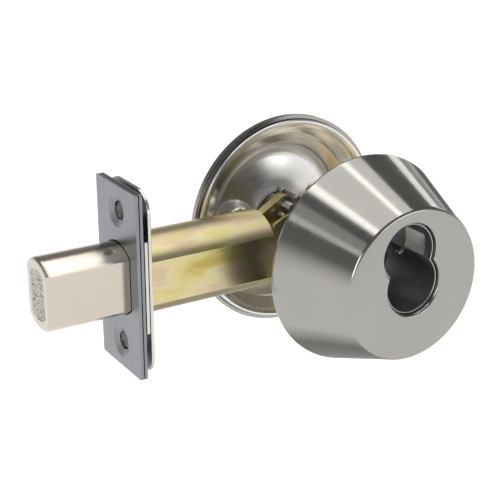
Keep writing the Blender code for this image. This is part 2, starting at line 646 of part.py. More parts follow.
def build_rose():
    """The stepped plate against the door and the domed cover over it."""
    spots = [(side * SCREW_OFFSET, 0.0) for side in (-1, 1)]
    steps = [(r * MM, DOOR_INSIDE + rise * MM) for r, rise in
             list(ROSE_STEPS) + smooth_profile(ROSE_BOWL, 2)]
    plate = sheet("rose_plate", steps, ROSE_PLATE_THICKNESS)
    skin = ROSE_PLATE_THICKNESS / 2
    behind = lathe("behind_plate", [(steps[0][0], DOME_TOP_Y), *[(r, y + skin) for r, y in steps],
                                    (steps[-1][0], DOME_TOP_Y)])
    base_y = max(y for _, y in steps)
    tip_y = DIMPLE_TIP_Y
    inner_base, inner_tip = DIMPLE_BASE_RADIUS - DIMPLE_WALL, DIMPLE_TIP_RADIUS - DIMPLE_WALL
    sink_y = tip_y + DIMPLE_WALL
    for spot in spots:
        dimple = cone("dimple", DIMPLE_TIP_RADIUS, DIMPLE_BASE_RADIUS, tip_y, base_y + ROSE_PLATE_THICKNESS,
                      ALONG_Y, spot)
        cut(dimple, behind)
        join(plate, dimple)
    for spot in spots:
        cut(plate, cone("dimple_hollow", inner_tip, inner_base, sink_y, base_y + ROSE_PLATE_THICKNESS * 3,
                        ALONG_Y, spot),
            rod("dimple_hole", DIMPLE_HOLE_RADIUS, tip_y - GAP, sink_y + GAP, ALONG_Y, spot))
    publish(plate, "rose_steel")

    wall_end = DOOR_INSIDE + ROSE_WALL_END
    dome_radius = ROSE_RADIUS - ROSE_SHOULDER
    dome_base = wall_end + ROSE_SHOULDER / 2
    dome_height = DOME_TOP_Y - dome_base
    hole_radius = BUSHING_RADIUS - BUSHING_RIM
    radii = [hole_radius + (dome_radius - hole_radius) * i / DOME_RINGS for i in range(DOME_RINGS + 1)]
    profile = [(r, dome_base + dome_height * (1 - (r / dome_radius) ** ROSE_DOME_POWER)) for r in radii]
    profile += [(ROSE_RADIUS - ROSE_SHOULDER / 3, wall_end + ROSE_SHOULDER / 6),
                (ROSE_RADIUS, wall_end - ROSE_SHOULDER / 2), (ROSE_RADIUS, DOOR_INSIDE + ROSE_WALL_START)]
    cover = sheet("rose_cover", profile, ROSE_COVER_THICKNESS)
    cut(cover, *[rod("screw_access", SCREW_ACCESS_RADIUS, wall_end, DOME_TOP_Y + GAP, ALONG_Y, spot)
                 for spot in spots])
    publish(cover, "rose_steel")

    head_y = sink_y + GAP
    for name, spot in zip(("left", "right"), spots):
        screw = rod(f"mounting_screw_{name}", SCREW_RADIUS, POST_END_Y - SCREW_ENGAGEMENT, head_y + GAP,
                    ALONG_Y, spot)
        join(screw, cone("screw_head", SCREW_RADIUS, SCREW_HEAD_RADIUS, head_y, head_y + SCREW_HEAD_SINK,
                         ALONG_Y, spot))
        width, length, depth = SCREW_DRIVE
        top = head_y + SCREW_HEAD_SINK
        for across, along in ((width, length), (length, width)):
            cut(screw, block("drive", (spot[0] - across, top - depth, -along),
                             (spot[0] + across, top + GAP, along)))
        publish(screw, "hard_steel")


def build_thumbturn():
    """The bushing, toothed nut, spindle, grip and cross pin of the thumbturn."""
    cover_inside = DOME_TOP_Y - ROSE_COVER_THICKNESS - GAP * 3
    nut_y = DOOR_INSIDE + NUT_RISE
    bush_start = nut_y + NUT_THICKNESS + GAP
    bore = SPINDLE_RADIUS + GAP
    profile = [(BUSHING_RIM_RADIUS, cover_inside), (BUSHING_RIM_RADIUS, cover_inside - BUSHING_RIM),
               (BUSHING_RADIUS, cover_inside - BUSHING_RIM), (BUSHING_RADIUS, bush_start),
               (bore, bush_start), (bore, cover_inside)]
    publish(lathe("turn_bushing", profile, steps=ROUND_STEPS), "dark_nylon")

    pitch = 2 * math.pi / NUT_TEETH
    teeth = []
    for i in range(NUT_TEETH):
        middle = pitch * i
        teeth += arc((0.0, 0.0), NUT_RADIUS - NUT_BAND, middle - pitch * 0.5, middle - pitch * 0.22, 3)
        teeth += arc((0.0, 0.0), bore, middle - pitch * 0.2, middle + pitch * 0.2, 3)
        teeth += arc((0.0, 0.0), NUT_RADIUS - NUT_BAND, middle + pitch * 0.22, middle + pitch * 0.44, 2)
    rings = [circle((0.0, 0.0), NUT_RADIUS), teeth]
    publish(prism("push_nut", rings, ACROSS_Y, nut_y, nut_y + NUT_THICKNESS), "yellow_zinc")

    pin_y = TURN_BASE_Y + TURN_HUB_LENGTH / 2
    pin_hole = rod("turn_pin_hole", TURN_PIN_RADIUS + GAP, -TURN_HUB_RADIUS * 2, TURN_HUB_RADIUS * 2, ALONG_Z,
                   (0.0, pin_y), PIN_STEPS)
    spindle = rod("turn_spindle", SPINDLE_RADIUS, SPINDLE_START_Y, SPINDLE_END_Y, ALONG_Y)
    cut(spindle, pin_hole,
        blade_slot("spindle_slot", SPINDLE_START_Y - GAP, SPINDLE_START_Y + SPINDLE_SLOT_DEPTH))
    publish(spindle, "hard_steel")

    pin_half = TURN_HUB_RADIUS - GAP * 2
    publish(rod("turn_pin", TURN_PIN_RADIUS, -pin_half, pin_half, ALONG_Z, (0.0, pin_y), PIN_STEPS),
            "hard_steel")

    grip_start = TURN_BASE_Y + TURN_HUB_LENGTH - TURN_EDGE
    half_length, half_width = TURN_GRIP_LENGTH / 2, TURN_GRIP_WIDTH / 2
    grip_end = grip_start + TURN_GRIP_HEIGHT
    thumbturn = cone("thumbturn", TURN_HUB_RADIUS, TURN_HUB_RADIUS - TURN_EDGE, TURN_BASE_Y,
                     TURN_BASE_Y + TURN_HUB_LENGTH, ALONG_Y)
    grip = prism("grip", [rounded_rectangle(half_length, half_width, half_width - GAP, 7)], ACROSS_Y,
                 grip_start, grip_end)
    edge = grip.modifiers.new("Edge", "BEVEL")
    edge.width = TURN_EDGE
    edge.segments = 2
    edge.limit_method = "ANGLE"
    edge.angle_limit = math.radians(60)
    join(thumbturn, grip)
    cut(thumbturn, rod("spindle_bore", bore, TURN_BASE_Y - GAP, SPINDLE_END_Y + GAP, ALONG_Y), pin_hole)
    publish(thumbturn, "satin_steel")


clear_scene()
PARTS = new_collection("deadbolt_lock")
TOOLS = new_collection("cutters")
build_front_plates()
build_bolt()
build_frames()
build_crank()
build_collar()
build_housing()
build_drive()
build_rose()
build_thumbturn()
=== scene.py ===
"""Looks of a tubular deadbolt lock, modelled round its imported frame.

The cylinder lies along Y with outdoors towards -Y, the bolt comes out towards -X and +Z is up.
Lengths in the file are in metres; sizes of sub-assemblies are given in millimetres times MM.
"""

import json
import logging
import math
from dataclasses import dataclass
from enum import Enum
from typing import Callable, Iterable, Sequence

import bmesh
import bpy
from mathutils import Matrix, Vector, noise


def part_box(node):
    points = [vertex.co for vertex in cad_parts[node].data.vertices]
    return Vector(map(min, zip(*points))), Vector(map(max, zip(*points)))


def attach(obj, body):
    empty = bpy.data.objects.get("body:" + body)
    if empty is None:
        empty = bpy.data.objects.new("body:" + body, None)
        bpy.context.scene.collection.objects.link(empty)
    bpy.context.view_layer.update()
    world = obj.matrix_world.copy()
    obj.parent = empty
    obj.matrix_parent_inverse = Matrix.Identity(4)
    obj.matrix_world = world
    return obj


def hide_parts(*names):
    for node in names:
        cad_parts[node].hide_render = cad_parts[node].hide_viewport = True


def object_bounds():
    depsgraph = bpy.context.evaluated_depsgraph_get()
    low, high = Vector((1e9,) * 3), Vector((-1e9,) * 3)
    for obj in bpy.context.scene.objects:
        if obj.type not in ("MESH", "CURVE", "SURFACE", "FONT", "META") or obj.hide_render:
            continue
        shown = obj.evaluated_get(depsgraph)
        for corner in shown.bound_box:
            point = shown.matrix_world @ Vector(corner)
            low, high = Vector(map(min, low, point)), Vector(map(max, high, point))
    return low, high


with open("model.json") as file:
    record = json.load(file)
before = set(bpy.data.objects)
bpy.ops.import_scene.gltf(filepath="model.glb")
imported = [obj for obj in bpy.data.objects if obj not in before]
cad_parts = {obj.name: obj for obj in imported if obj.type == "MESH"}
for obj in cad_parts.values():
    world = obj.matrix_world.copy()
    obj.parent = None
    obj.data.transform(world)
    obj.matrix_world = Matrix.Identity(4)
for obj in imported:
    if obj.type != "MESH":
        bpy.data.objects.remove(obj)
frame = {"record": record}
CAD_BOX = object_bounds()

MM = 0.001
QUARTER = math.pi / 2
SIDES = (-1, 1)
SMOOTH_ANGLE = 40.0
MERGE_REACH = 0.000001
SLIVER = 0.000004
LOG = logging.getLogger("deadbolt")

Point = tuple[float, float]
Outline = list[Point]


# ---------------------------------------------------------------- outlines

def arc(centre: Point, radius: float, start: float, end: float, count: int) -> Outline:
    """Give points along an arc, both ends included.

    Args:
        centre: Middle of the arc.
        radius: Radius in metres.
        start: First angle in radians.
        end: Last angle in radians.
        count: Number of points.

    Returns:
        The points in order.
    """
    angles = [start + (end - start) * i / (count - 1) for i in range(count)]
    return [(centre[0] + radius * math.cos(a), centre[1] + radius * math.sin(a)) for a in angles]


def circle(centre: Point, radius: float, count: int = 64) -> Outline:
    """Give the points of a closed circle, starting on its right."""
    return arc(centre, radius, 0.0, 2 * math.pi * (count - 1) / count, count)


def flatted(radius: float, half_flats: float, count: int = 22, flat_steps: int = 6) -> Outline:
    """Give a circle with two upright flats, the section of the bolt and its tube.

    Args:
        radius: Radius of the round top and bottom.
        half_flats: Distance from the middle to either flat.
        count: Points on each arc.
        flat_steps: Stretches on each flat.

    Returns:
        A closed outline, anticlockwise.
    """
    lift = math.acos(min(half_flats / radius, 1.0))
    upper = arc((0.0, 0.0), radius, lift, math.pi - lift, count)
    top, bottom = upper[-1][1], -upper[-1][1]
    flat = [(-half_flats, top + (bottom - top) * i / flat_steps) for i in range(1, flat_steps)]
    half = upper + flat
    return half + [(-y, -z) for y, z in half]


def rounded_rectangle(half_width: float, half_height: float, radius: float, count: int = 8) -> Outline:
    """Give a rectangle with round corners, anticlockwise from its right side.

    Args:
        half_width: Half its width.
        half_height: Half its height.
        radius: Radius of its corners.
        count: Points on each corner.

    Returns:
        The closed outline.
    """
    outline: Outline = []
    for i, (side, level) in enumerate(((1, 1), (-1, 1), (-1, -1), (1, -1))):
        centre = (side * (half_width - radius), level * (half_height - radius))
        outline += arc(centre, radius, i * QUARTER, (i + 1) * QUARTER, count)
    return outline


def rotated(points: Iterable[Point], angle: float) -> Outline:
    """Give the points turned anticlockwise about the origin."""
    c, s = math.cos(angle), math.sin(angle)
    return [(c * u - s * v, s * u + c * v) for u, v in points]


def softened(points: Sequence[Point], reach: float, count: int = 5, closed: bool = False) -> Outline:
    """Round the corners of a line of points with short curves.

    Args:
        points: The corners.
        reach: How far from each corner the rounding starts.
        count: Points on each rounding.
        closed: Whether the last point joins the first.

    Returns:
        The softened line.
    """
    corners = [Vector(p) for p in points]
    total = len(corners)
    result: Outline = []
    for i, corner in enumerate(corners):
        if not closed and i in (0, total - 1):
            result.append(tuple(corner))
            continue
        before, after = corners[i - 1] - corner, corners[(i + 1) % total] - corner
        span = min(reach, before.length * 0.45, after.length * 0.45)
        first, last = corner + before.normalized() * span, corner + after.normalized() * span
        for k in range(count):
            t = k / (count - 1)
            result.append(tuple(first.lerp(corner, t).lerp(corner.lerp(last, t), t)))
    return result


def smooth_line(points: Sequence[Point], steps: int) -> Outline:
    """Draw a Catmull-Rom curve through points, with some steps on each stretch.

    Args:
        points: The points to pass.
        steps: Stretches between two of them.

    Returns:
        The curve, both ends included.
    """
    ends = [points[0], *points, points[-1]]
    curve: Outline = []
    for a, b, c, d in zip(ends, ends[1:], ends[2:], ends[3:]):
        for i in range(steps):
            t = i / steps
            curve.append(tuple(
                0.5 * (2 * q + (r - p) * t + (2 * p - 5 * q + 4 * r - s) * t ** 2
                       + (3 * q - p - 3 * r + s) * t ** 3)
                for p, q, r, s in zip(a, b, c, d)))
    return curve + [tuple(points[-1])]


def walled(points: Sequence[Point], thickness: float) -> Outline:
    """Close an open profile into a wall, which grows to the right of its direction.

    Args:
        points: The profile of the wall's outer face.
        thickness: Thickness of the wall.

    Returns:
        The closed profile, out along the face and back along the inside.
    """
    inner: Outline = []
    for i, point in enumerate(points):
        ahead = Vector(points[min(i + 1, len(points) - 1)]) - Vector(point)
        behind = Vector(point) - Vector(points[max(i - 1, 0)])
        along = (ahead.normalized() + behind.normalized()).normalized()
        inner.append((point[0] + along.y * thickness, point[1] - along.x * thickness))
    return list(points) + inner[::-1]


# ---------------------------------------------------------------- shapes

class Axis(Enum):
    """A direction of the frame, and the way flat outlines face along it."""

    X = 0
    Y = 1
    Z = 2

    def spot(self, across: float, up: float, depth: float) -> Vector:
        """Place an outline's point: (y, z) facing X, (x, z) facing Y or (x, y) facing Z.

        Args:
            across: The point's first number.
            up: Its second number.
            depth: Place along the axis.

        Returns:
            The point in space.
        """
        if self is Axis.X:
            return Vector((depth, across, up))
        if self is Axis.Y:
            return Vector((across, depth, up))
        return Vector((across, up, depth))

    @property
    def direction(self) -> Vector:
        """Unit vector along the axis."""
        return Vector([1.0 if i == self.value else 0.0 for i in range(3)])


class Shape:
    """A mesh under construction, with the few moves that the lock's pieces are made of."""

    def __init__(self) -> None:
        """Start with nothing."""
        self.bm = bmesh.new()

    def ring(self, outline: Sequence[Point], facing: Axis, depth: float) -> list[bmesh.types.BMEdge]:
        """Draw a closed outline across an axis.

        Args:
            outline: The points.
            facing: The axis that the outline lies across.
            depth: Place along that axis.

        Returns:
            The edges of the ring.
        """
        verts = [self.bm.verts.new(facing.spot(u, v, depth)) for u, v in outline]
        return [self.bm.edges.new((a, b)) for a, b in zip(verts, verts[1:] + verts[:1])]

    def fill(self, *rings: list[bmesh.types.BMEdge]) -> None:
        """Fill the flat region between rings, or inside a single one."""
        edges = [edge for ring in rings for edge in ring]
        bmesh.ops.triangle_fill(self.bm, use_beauty=True, use_dissolve=False, edges=edges)

    def bridge(self, first: list[bmesh.types.BMEdge], second: list[bmesh.types.BMEdge]) -> None:
        """Join two rings with a band of faces."""
        bmesh.ops.bridge_loops(self.bm, edges=first + second)

    def tunnel(self, rings: Sequence[list[bmesh.types.BMEdge]]) -> None:
        """Join each ring to the next."""
        for first, second in zip(rings, rings[1:]):
            self.bridge(first, second)

    def turn(self, profile: Sequence[Point], axis: Axis, steps: int = 96, closed: bool = True) -> None:
        """Spin a profile of (radius, height) points round an axis.

        Args:
            profile: The points of the profile.
            axis: The axis to turn about, through the origin.
            steps: Facets round the axis.
            closed: Whether the profile's last point joins its first.
        """
        side = {Axis.X: lambda r, h: Vector((h, 0.0, r)), Axis.Y: lambda r, h: Vector((r, h, 0.0)),
                Axis.Z: lambda r, h: Vector((r, 0.0, h))}[axis]
        verts = [self.bm.verts.new(side(r, h)) for r, h in profile]
        pairs = list(zip(verts, verts[1:])) + ([(verts[-1], verts[0])] if closed else [])
        edges = [self.bm.edges.new(pair) for pair in pairs]
        bmesh.ops.spin(self.bm, geom=verts + edges, cent=(0, 0, 0), axis=axis.direction, dvec=(0, 0, 0),
                       angle=2 * math.pi, steps=steps, use_merge=True, use_duplicate=False)

    def move(self, offset: Vector) -> "Shape":
        """Shift everything made so far."""
        bmesh.ops.translate(self.bm, verts=self.bm.verts, vec=offset)
        return self

    def bend(self, rule: Callable[[Vector], Vector]) -> "Shape":
        """Move every vertex by a rule.

        Args:
            rule: Gives the new place for an old one.

        Returns:
            The shape itself.
        """
        for vert in self.bm.verts:
            vert.co = rule(vert.co)
        return self

    def build(self, name: str, smooth_angle: float = SMOOTH_ANGLE) -> bpy.types.Object:
        """Close the mesh, point its faces outwards and make it an object.

        Args:
            name: Name of the object.
            smooth_angle: Edges sharper than this many degrees stay crisp.

        Returns:
            The new object, at the origin.
        """
        bmesh.ops.remove_doubles(self.bm, verts=self.bm.verts, dist=MERGE_REACH)
        bmesh.ops.recalc_face_normals(self.bm, faces=self.bm.faces)
        mesh = bpy.data.meshes.new(name)
        self.bm.to_mesh(mesh)
        self.bm.free()
        mesh.shade_smooth()
        mesh.set_sharp_from_angle(angle=math.radians(smooth_angle))
        piece = bpy.data.objects.new(name, mesh)
        bpy.context.scene.collection.objects.link(piece)
        return piece


def plate(name: str, front: Sequence[Outline], back: Sequence[Outline], facing: Axis,
          start: float, end: float, smooth_angle: float = SMOOTH_ANGLE) -> bpy.types.Object:
    """Make a flat plate from matching outlines on its two faces.

    Args:
        name: Name of the object.
        front: Outer outline and holes at start.
        back: The same outlines at end, where a hole may be narrower.
        facing: The axis through the plate.
        start: Place of the first face.
        end: Place of the second face.
        smooth_angle: Edges sharper than this many degrees stay crisp.

    Returns:
        The plate.
    """
    shape = Shape()
    near = [shape.ring(outline, facing, start) for outline in front]
    far = [shape.ring(outline, facing, end) for outline in back]
    shape.fill(*near)
    shape.fill(*far)
    for first, second in zip(near, far):
        shape.bridge(first, second)
    return shape.build(name, smooth_angle)


def turned(name: str, profile: Sequence[Point], axis: Axis, steps: int = 96,
           centre: Vector = Vector((0, 0, 0))) -> bpy.types.Object:
    """Make a turned piece from a closed profile, moved to its centre line.

    Args:
        name: Name of the object.
        profile: The profile of (radius, height) points.
        axis: The axis to turn about.
        steps: Facets round the axis.
        centre: Where the axis passes.

    Returns:
        The piece.
    """
    shape = Shape()
    shape.turn(profile, axis, steps)
    return shape.move(centre).build(name)


def rounded_rod(radius: float, start: float, end: float, edge: float) -> Outline:
    """Give the closed profile of a solid rod with rounded ends.

    Args:
        radius: Radius of the rod.
        start: Height of its first end.
        end: Height of its other end.
        edge: Radius of the rounding.

    Returns:
        The profile of (radius, height) points.
    """
    tip = arc((radius - edge, end - edge), edge, QUARTER, 0.0, 4)
    root = arc((radius - edge, start + edge), edge, 0.0, -QUARTER, 4)
    return [(0.0, end), *tip, *root, (0.0, start)]


def plain_rod(radius: float, start: float, end: float) -> Outline:
    """Give the closed profile of a rod with square ends."""
    return [(0.0, start), (radius, start), (radius, end), (0.0, end)]


def rolled_edge(edge: float, start: float, steps: int = 6) -> Outline:
    """Give a rounded edge as pairs of how far it stands in and its depth, from the face outwards."""
    return [(edge * (1 - math.sin(a)), start + edge * (1 - math.cos(a)))
            for a in (QUARTER * i / steps for i in range(steps + 1))]


def both_sides(offset: float) -> list[Vector]:
    """Give the two centre lines that stand to the left and right of the cylinder's axis."""
    return [Vector((side * offset, 0, 0)) for side in SIDES]


def bevelled(piece: bpy.types.Object, width: float, segments: int = 3,
             angle: float = SMOOTH_ANGLE) -> bpy.types.Object:
    """Soften a piece's crisp edges and keep its flats flat.

    Args:
        piece: The object.
        width: Width of the softened edge.
        segments: Faces across it.
        angle: Only edges sharper than this many degrees are softened.

    Returns:
        The same object.
    """
    edge = piece.modifiers.new("Edge", "BEVEL")
    edge.width = width
    edge.segments = segments
    edge.limit_method = "ANGLE"
    edge.angle_limit = math.radians(angle)
    edge.use_clamp_overlap = True
    edge.harden_normals = True
    return piece


def weighted(piece: bpy.types.Object) -> bpy.types.Object:
    """Let large faces lead the shading, so that flats look flat.

    Args:
        piece: The object.

    Returns:
        The same object.
    """
    normals = piece.modifiers.new("Flats", "WEIGHTED_NORMAL")
    normals.keep_sharp = True
    normals.weight = 80
    return piece


def applied(piece: bpy.types.Object) -> bpy.types.Object:
    """Turn a piece's live modifiers into plain mesh.

    Args:
        piece: The object.

    Returns:
        The same object.
    """
    bpy.context.view_layer.update()
    seen = piece.evaluated_get(bpy.context.evaluated_depsgraph_get())
    mesh = bpy.data.meshes.new_from_object(seen)
    piece.modifiers.clear()
    piece.data = mesh
    return piece


def combined(piece: bpy.types.Object, tools: Iterable[bpy.types.Object], operation: str) -> bpy.types.Object:
    """Cut tools from a piece or join them to it, and remove the tools.

    Args:
        piece: The object that is kept.
        tools: Objects that are used up.
        operation: DIFFERENCE or UNION.

    Returns:
        The piece with its new mesh, free of the slivers that a cut leaves.
    """
    tools = list(tools)
    for tool in tools:
        step = piece.modifiers.new(tool.name, "BOOLEAN")
        step.solver = "EXACT"
        step.operation = operation
        step.object = tool
    applied(piece)
    for tool in tools:
        bpy.data.objects.remove(tool, do_unlink=True)
    bm = bmesh.new()
    bm.from_mesh(piece.data)
    bmesh.ops.dissolve_degenerate(bm, edges=bm.edges, dist=SLIVER)
    bmesh.ops.triangulate(bm, faces=[face for face in bm.faces if len(face.verts) > 4])
    bmesh.ops.dissolve_degenerate(bm, edges=bm.edges, dist=SLIVER)
    bm.to_mesh(piece.data)
    bm.free()
    piece.data.shade_smooth()
    piece.data.set_sharp_from_angle(angle=math.radians(SMOOTH_ANGLE))
    return piece


def cutter(profile: Sequence[Point], axis: Axis, centre: Vector, steps: int = 48) -> bpy.types.Object:
    """Make a turned tool for cutting or joining."""
    return turned("tool", profile, axis, steps, centre)


def bevel_tool(piece: bpy.types.Object, width: float) -> bpy.types.Object:
    """Soften a tool's edges before it is joined to a piece."""
    return applied(bevelled(piece, width, 2))


def block(low: Sequence[float], high: Sequence[float], edge: float = 0.0) -> bpy.types.Object:
    """Make a box from its lowest corner to its highest, with rounded edges if asked.

    Args:
        low: The lowest corner.
        high: The highest corner.
        edge: Width of the rounded edges.

    Returns:
        The box.
    """
    shape = Shape()
    bmesh.ops.create_cube(shape.bm, size=1.0)
    size = [b - a for a, b in zip(low, high)]
    middle = Vector([(a + b) / 2 for a, b in zip(low, high)])
    bmesh.ops.scale(shape.bm, vec=size, verts=shape.bm.verts)
    if edge:
        bmesh.ops.bevel(shape.bm, geom=shape.bm.edges, affect="EDGES", offset=edge, segments=3, profile=0.5,
                        clamp_overlap=True, material=-1)
    return shape.move(middle).build("tool")


# ---------------------------------------------------------------- finishes

class Weave:
    """Builds one material's node tree."""

    def __init__(self, name: str) -> None:
        """Start a material with its Principled shader.

        Args:
            name: Name of the material.
        """
        self.material = bpy.data.materials.new(name)
        self.material.use_nodes = True
        self.tree = self.material.node_tree
        self.shader = self.tree.nodes["Principled BSDF"]

    def node(self, kind: str, inputs: dict | None = None, **settings: object) -> bpy.types.Node:
        """Add a node.

        Args:
            kind: Blender's name of the node type, without its ShaderNode prefix.
            inputs: Values or sockets for its inputs, by name or number.
            settings: Properties of the node.

        Returns:
            The node.
        """
        made = self.tree.nodes.new("ShaderNode" + kind)
        for key, value in settings.items():
            setattr(made, key, value)
        for key, value in (inputs or {}).items():
            if isinstance(value, bpy.types.NodeSocket):
                self.tree.links.new(value, made.inputs[key])
            else:
                made.inputs[key].default_value = value
        return made

    def math(self, operation: str, first: object, second: object = 0.0) -> bpy.types.NodeSocket:
        """Work out one number from one or two others."""
        return self.node("Math", {0: first, 1: second}, operation=operation).outputs[0]

    def spread(self, value: bpy.types.NodeSocket, low: float, high: float,
               from_low: float = 0.25, from_high: float = 0.75) -> bpy.types.NodeSocket:
        """Stretch a noise value onto a range."""
        return self.node("MapRange", {"Value": value, "From Min": from_low, "From Max": from_high,
                                      "To Min": low, "To Max": high}).outputs["Result"]

    def place(self, scale: Sequence[float], turn: Sequence[float] = (0, 0, 0)) -> bpy.types.NodeSocket:
        """Give the object's own coordinates, turned and scaled."""
        coordinates = self.node("TexCoord").outputs["Object"]
        return self.node("Mapping", {"Vector": coordinates, "Rotation": turn, "Scale": scale}).outputs[0]

    def from_axis(self) -> tuple[bpy.types.NodeSocket, bpy.types.NodeSocket, bpy.types.NodeSocket]:
        """Give the vector away from the cylinder's axis, its length and the place along the axis.

        Returns:
            The three sockets.
        """
        x, y, z = self.node("SeparateXYZ", {0: self.node("TexCoord").outputs["Object"]}).outputs
        flat = self.node("CombineXYZ", {0: x, 2: z}).outputs[0]
        return flat, self.node("VectorMath", {0: flat}, operation="LENGTH").outputs["Value"], y

    def blend(self, first: bpy.types.NodeSocket, second: bpy.types.NodeSocket,
              share: float) -> bpy.types.NodeSocket:
        """Mix two numbers, with the second one's share given."""
        return self.math("ADD", self.math("MULTIPLY", first, 1 - share), self.math("MULTIPLY", second, share))

    def round_y(self, scale: float, swirl: float) -> bpy.types.NodeSocket:
        """Give coordinates that follow circles round the cylinder's axis.

        Args:
            scale: Lines per metre across the circles.
            swirl: How fast the pattern changes along a circle.

        Returns:
            The coordinates, for a noise texture of scale 1.
        """
        flat, radius, y = self.from_axis()
        heading = self.node("VectorMath", {0: flat}, operation="NORMALIZE").outputs[0]
        lean = self.node("SeparateXYZ", {0: heading})
        across = self.math("MULTIPLY", self.math("SUBTRACT", radius, y), scale)
        return self.node("CombineXYZ", {
            0: across, 1: self.math("MULTIPLY", lean.outputs[0], swirl),
            2: self.math("MULTIPLY", lean.outputs[2], swirl)}).outputs[0]

    def noise(self, vector: bpy.types.NodeSocket, scale: float, detail: float = 2.0,
              roughness: float = 0.5) -> bpy.types.NodeSocket:
        """Add a noise texture and give its value."""
        return self.node("TexNoise", {"Vector": vector, "Scale": scale, "Detail": detail,
                                      "Roughness": roughness}).outputs["Fac"]

    def ramp(self, value: bpy.types.NodeSocket,
             stops: Sequence[tuple[float, Sequence[float]]]) -> bpy.types.NodeSocket:
        """Turn a value into a colour.

        Args:
            value: The value from 0 to 1.
            stops: Places and colours along the ramp.

        Returns:
            The colour.
        """
        ramp = self.node("ValToRGB", {0: value})
        elements = ramp.color_ramp.elements
        while len(elements) < len(stops):
            elements.new(0.5)
        for element, (place, colour) in zip(elements, stops):
            element.position = place
            element.color = (*colour, 1.0)
        return ramp.outputs["Color"]

    def bump(self, height: bpy.types.NodeSocket, depth: float, strength: float = 1.0) -> bpy.types.NodeSocket:
        """Turn a height into a normal."""
        return self.node("Bump", {"Height": height, "Distance": depth, "Strength": strength}).outputs[0]

    def set(self, **inputs: object) -> bpy.types.Material:
        """Set or link the shader's inputs, with underscores for spaces.

        Args:
            inputs: Values or sockets by input name.

        Returns:
            The finished material.
        """
        for key, value in inputs.items():
            socket = self.shader.inputs[key.replace("_", " ")]
            if isinstance(value, bpy.types.NodeSocket):
                self.tree.links.new(value, socket)
            else:
                socket.default_value = value
        return self.material


def tint(colour: Sequence[float], factor: float) -> tuple[float, ...]:
    """Lighten or darken a colour."""
    return tuple(min(part * factor, 1.0) for part in colour)


class Grain(Enum):
    """The way a metal's fine lines run."""

    ROUND_Y = "circles round the cylinder's axis"
    ALONG_X = "lines along the bolt"
    ALONG_Y = "lines along the cylinder"
    ALONG_Z = "upright lines"


@dataclass(frozen=True)
class BrushedMetal:
    """Metal with fine lines, slight clouding and worn roughness."""

    name: str
    colour: tuple[float, float, float]
    roughness: float
    grain: Grain
    lines: float = 9000.0
    depth: float = 0.000004
    clouds: float = 0.05

    def material(self) -> bpy.types.Material:
        """Build the material.

        Returns:
            The material.
        """
        weave = Weave(self.name)
        if self.grain is Grain.ROUND_Y:
            lines = weave.noise(weave.round_y(self.lines, 3.0), 1.0, 3.0, 0.6)
            broad = weave.noise(weave.round_y(self.lines / 12, 1.5), 1.0, 2.0)
        else:
            drawn = {Grain.ALONG_X: 0, Grain.ALONG_Y: 1, Grain.ALONG_Z: 2}[self.grain]
            scale = [self.lines * (0.02 if i == drawn else 1) for i in range(3)]
            lines = weave.noise(weave.place(scale), 1.0, 3.0, 0.6)
            broad = weave.noise(weave.place([part / 12 for part in scale]), 1.0, 2.0)
        cloud = weave.noise(weave.place((1, 1, 1)), 70.0, 3.0)
        colour = weave.ramp(weave.blend(lines, cloud, 0.4), ((0.25, tint(self.colour, 1 - self.clouds)),
                                                            (0.75, tint(self.colour, 1 + self.clouds))))
        rough = weave.math("ADD", weave.spread(lines, -0.035, 0.035),
                           weave.spread(broad, self.roughness - 0.03, self.roughness + 0.03))
        return weave.set(Base_Color=colour, Metallic=1.0, Roughness=rough,
                         Normal=weave.bump(lines, self.depth))


@dataclass(frozen=True)
class DrawnDish:
    """Drawn steel, bright in its bowl and warmer on the steps round it; outside the steps the rolled rim
    takes the bowl's paler colour again, a painted highlight.
    """

    name: str
    bowl: tuple[float, float, float]
    steps: tuple[float, float, float]
    roughness: float
    reach: float = 24.2 * MM
    # Radius from which the rolled rim takes the bowl's paler colour, a painted highlight.
    rim_highlight: float = 32.7 * MM
    seam: float = 0.6 * MM
    lines: float = 5000.0
    depth: float = 0.000002

    def material(self) -> bpy.types.Material:
        """Build the material.

        Returns:
            The material.
        """
        weave = Weave(self.name)
        radius = weave.from_axis()[1]
        cloud = weave.noise(weave.place((1, 1, 1)), 110.0, 4.0, 0.6)
        lines = weave.noise(weave.round_y(self.lines, 2.0), 1.0, 3.0, 0.6)
        streaks = weave.noise(weave.place((25.0, 900.0, 1400.0), (0.0, 0.35, 0.0)), 1.0, 2.0)
        # The warm colour covers only the steps; past the rim radius the paler bowl colour returns as a
        # painted highlight on the rolled edge.
        outer = weave.math("MULTIPLY",
                           weave.spread(radius, 0.0, 1.0, self.reach - self.seam, self.reach + self.seam),
                           weave.spread(radius, 1.0, 0.0, self.rim_highlight, self.rim_highlight + self.seam / 2))
        smear = weave.blend(cloud, streaks, 0.3)
        bright = weave.ramp(smear, ((0.3, tint(self.bowl, 0.92)), (0.7, tint(self.bowl, 1.04))))
        warm = weave.ramp(smear, ((0.3, tint(self.steps, 0.90)), (0.7, tint(self.steps, 1.05))))
        mix = weave.node("Mix", {0: outer, 6: bright, 7: warm}, data_type="RGBA").outputs[2]
        worn = weave.math("SUBTRACT", weave.spread(cloud, self.roughness - 0.02, self.roughness + 0.03),
                          weave.math("MULTIPLY", outer, 0.14))
        rough = weave.math("ADD", weave.spread(lines, -0.03, 0.03), worn)
        return weave.set(Base_Color=mix, Metallic=1.0, Roughness=rough,
                         Normal=weave.bump(lines, self.depth))


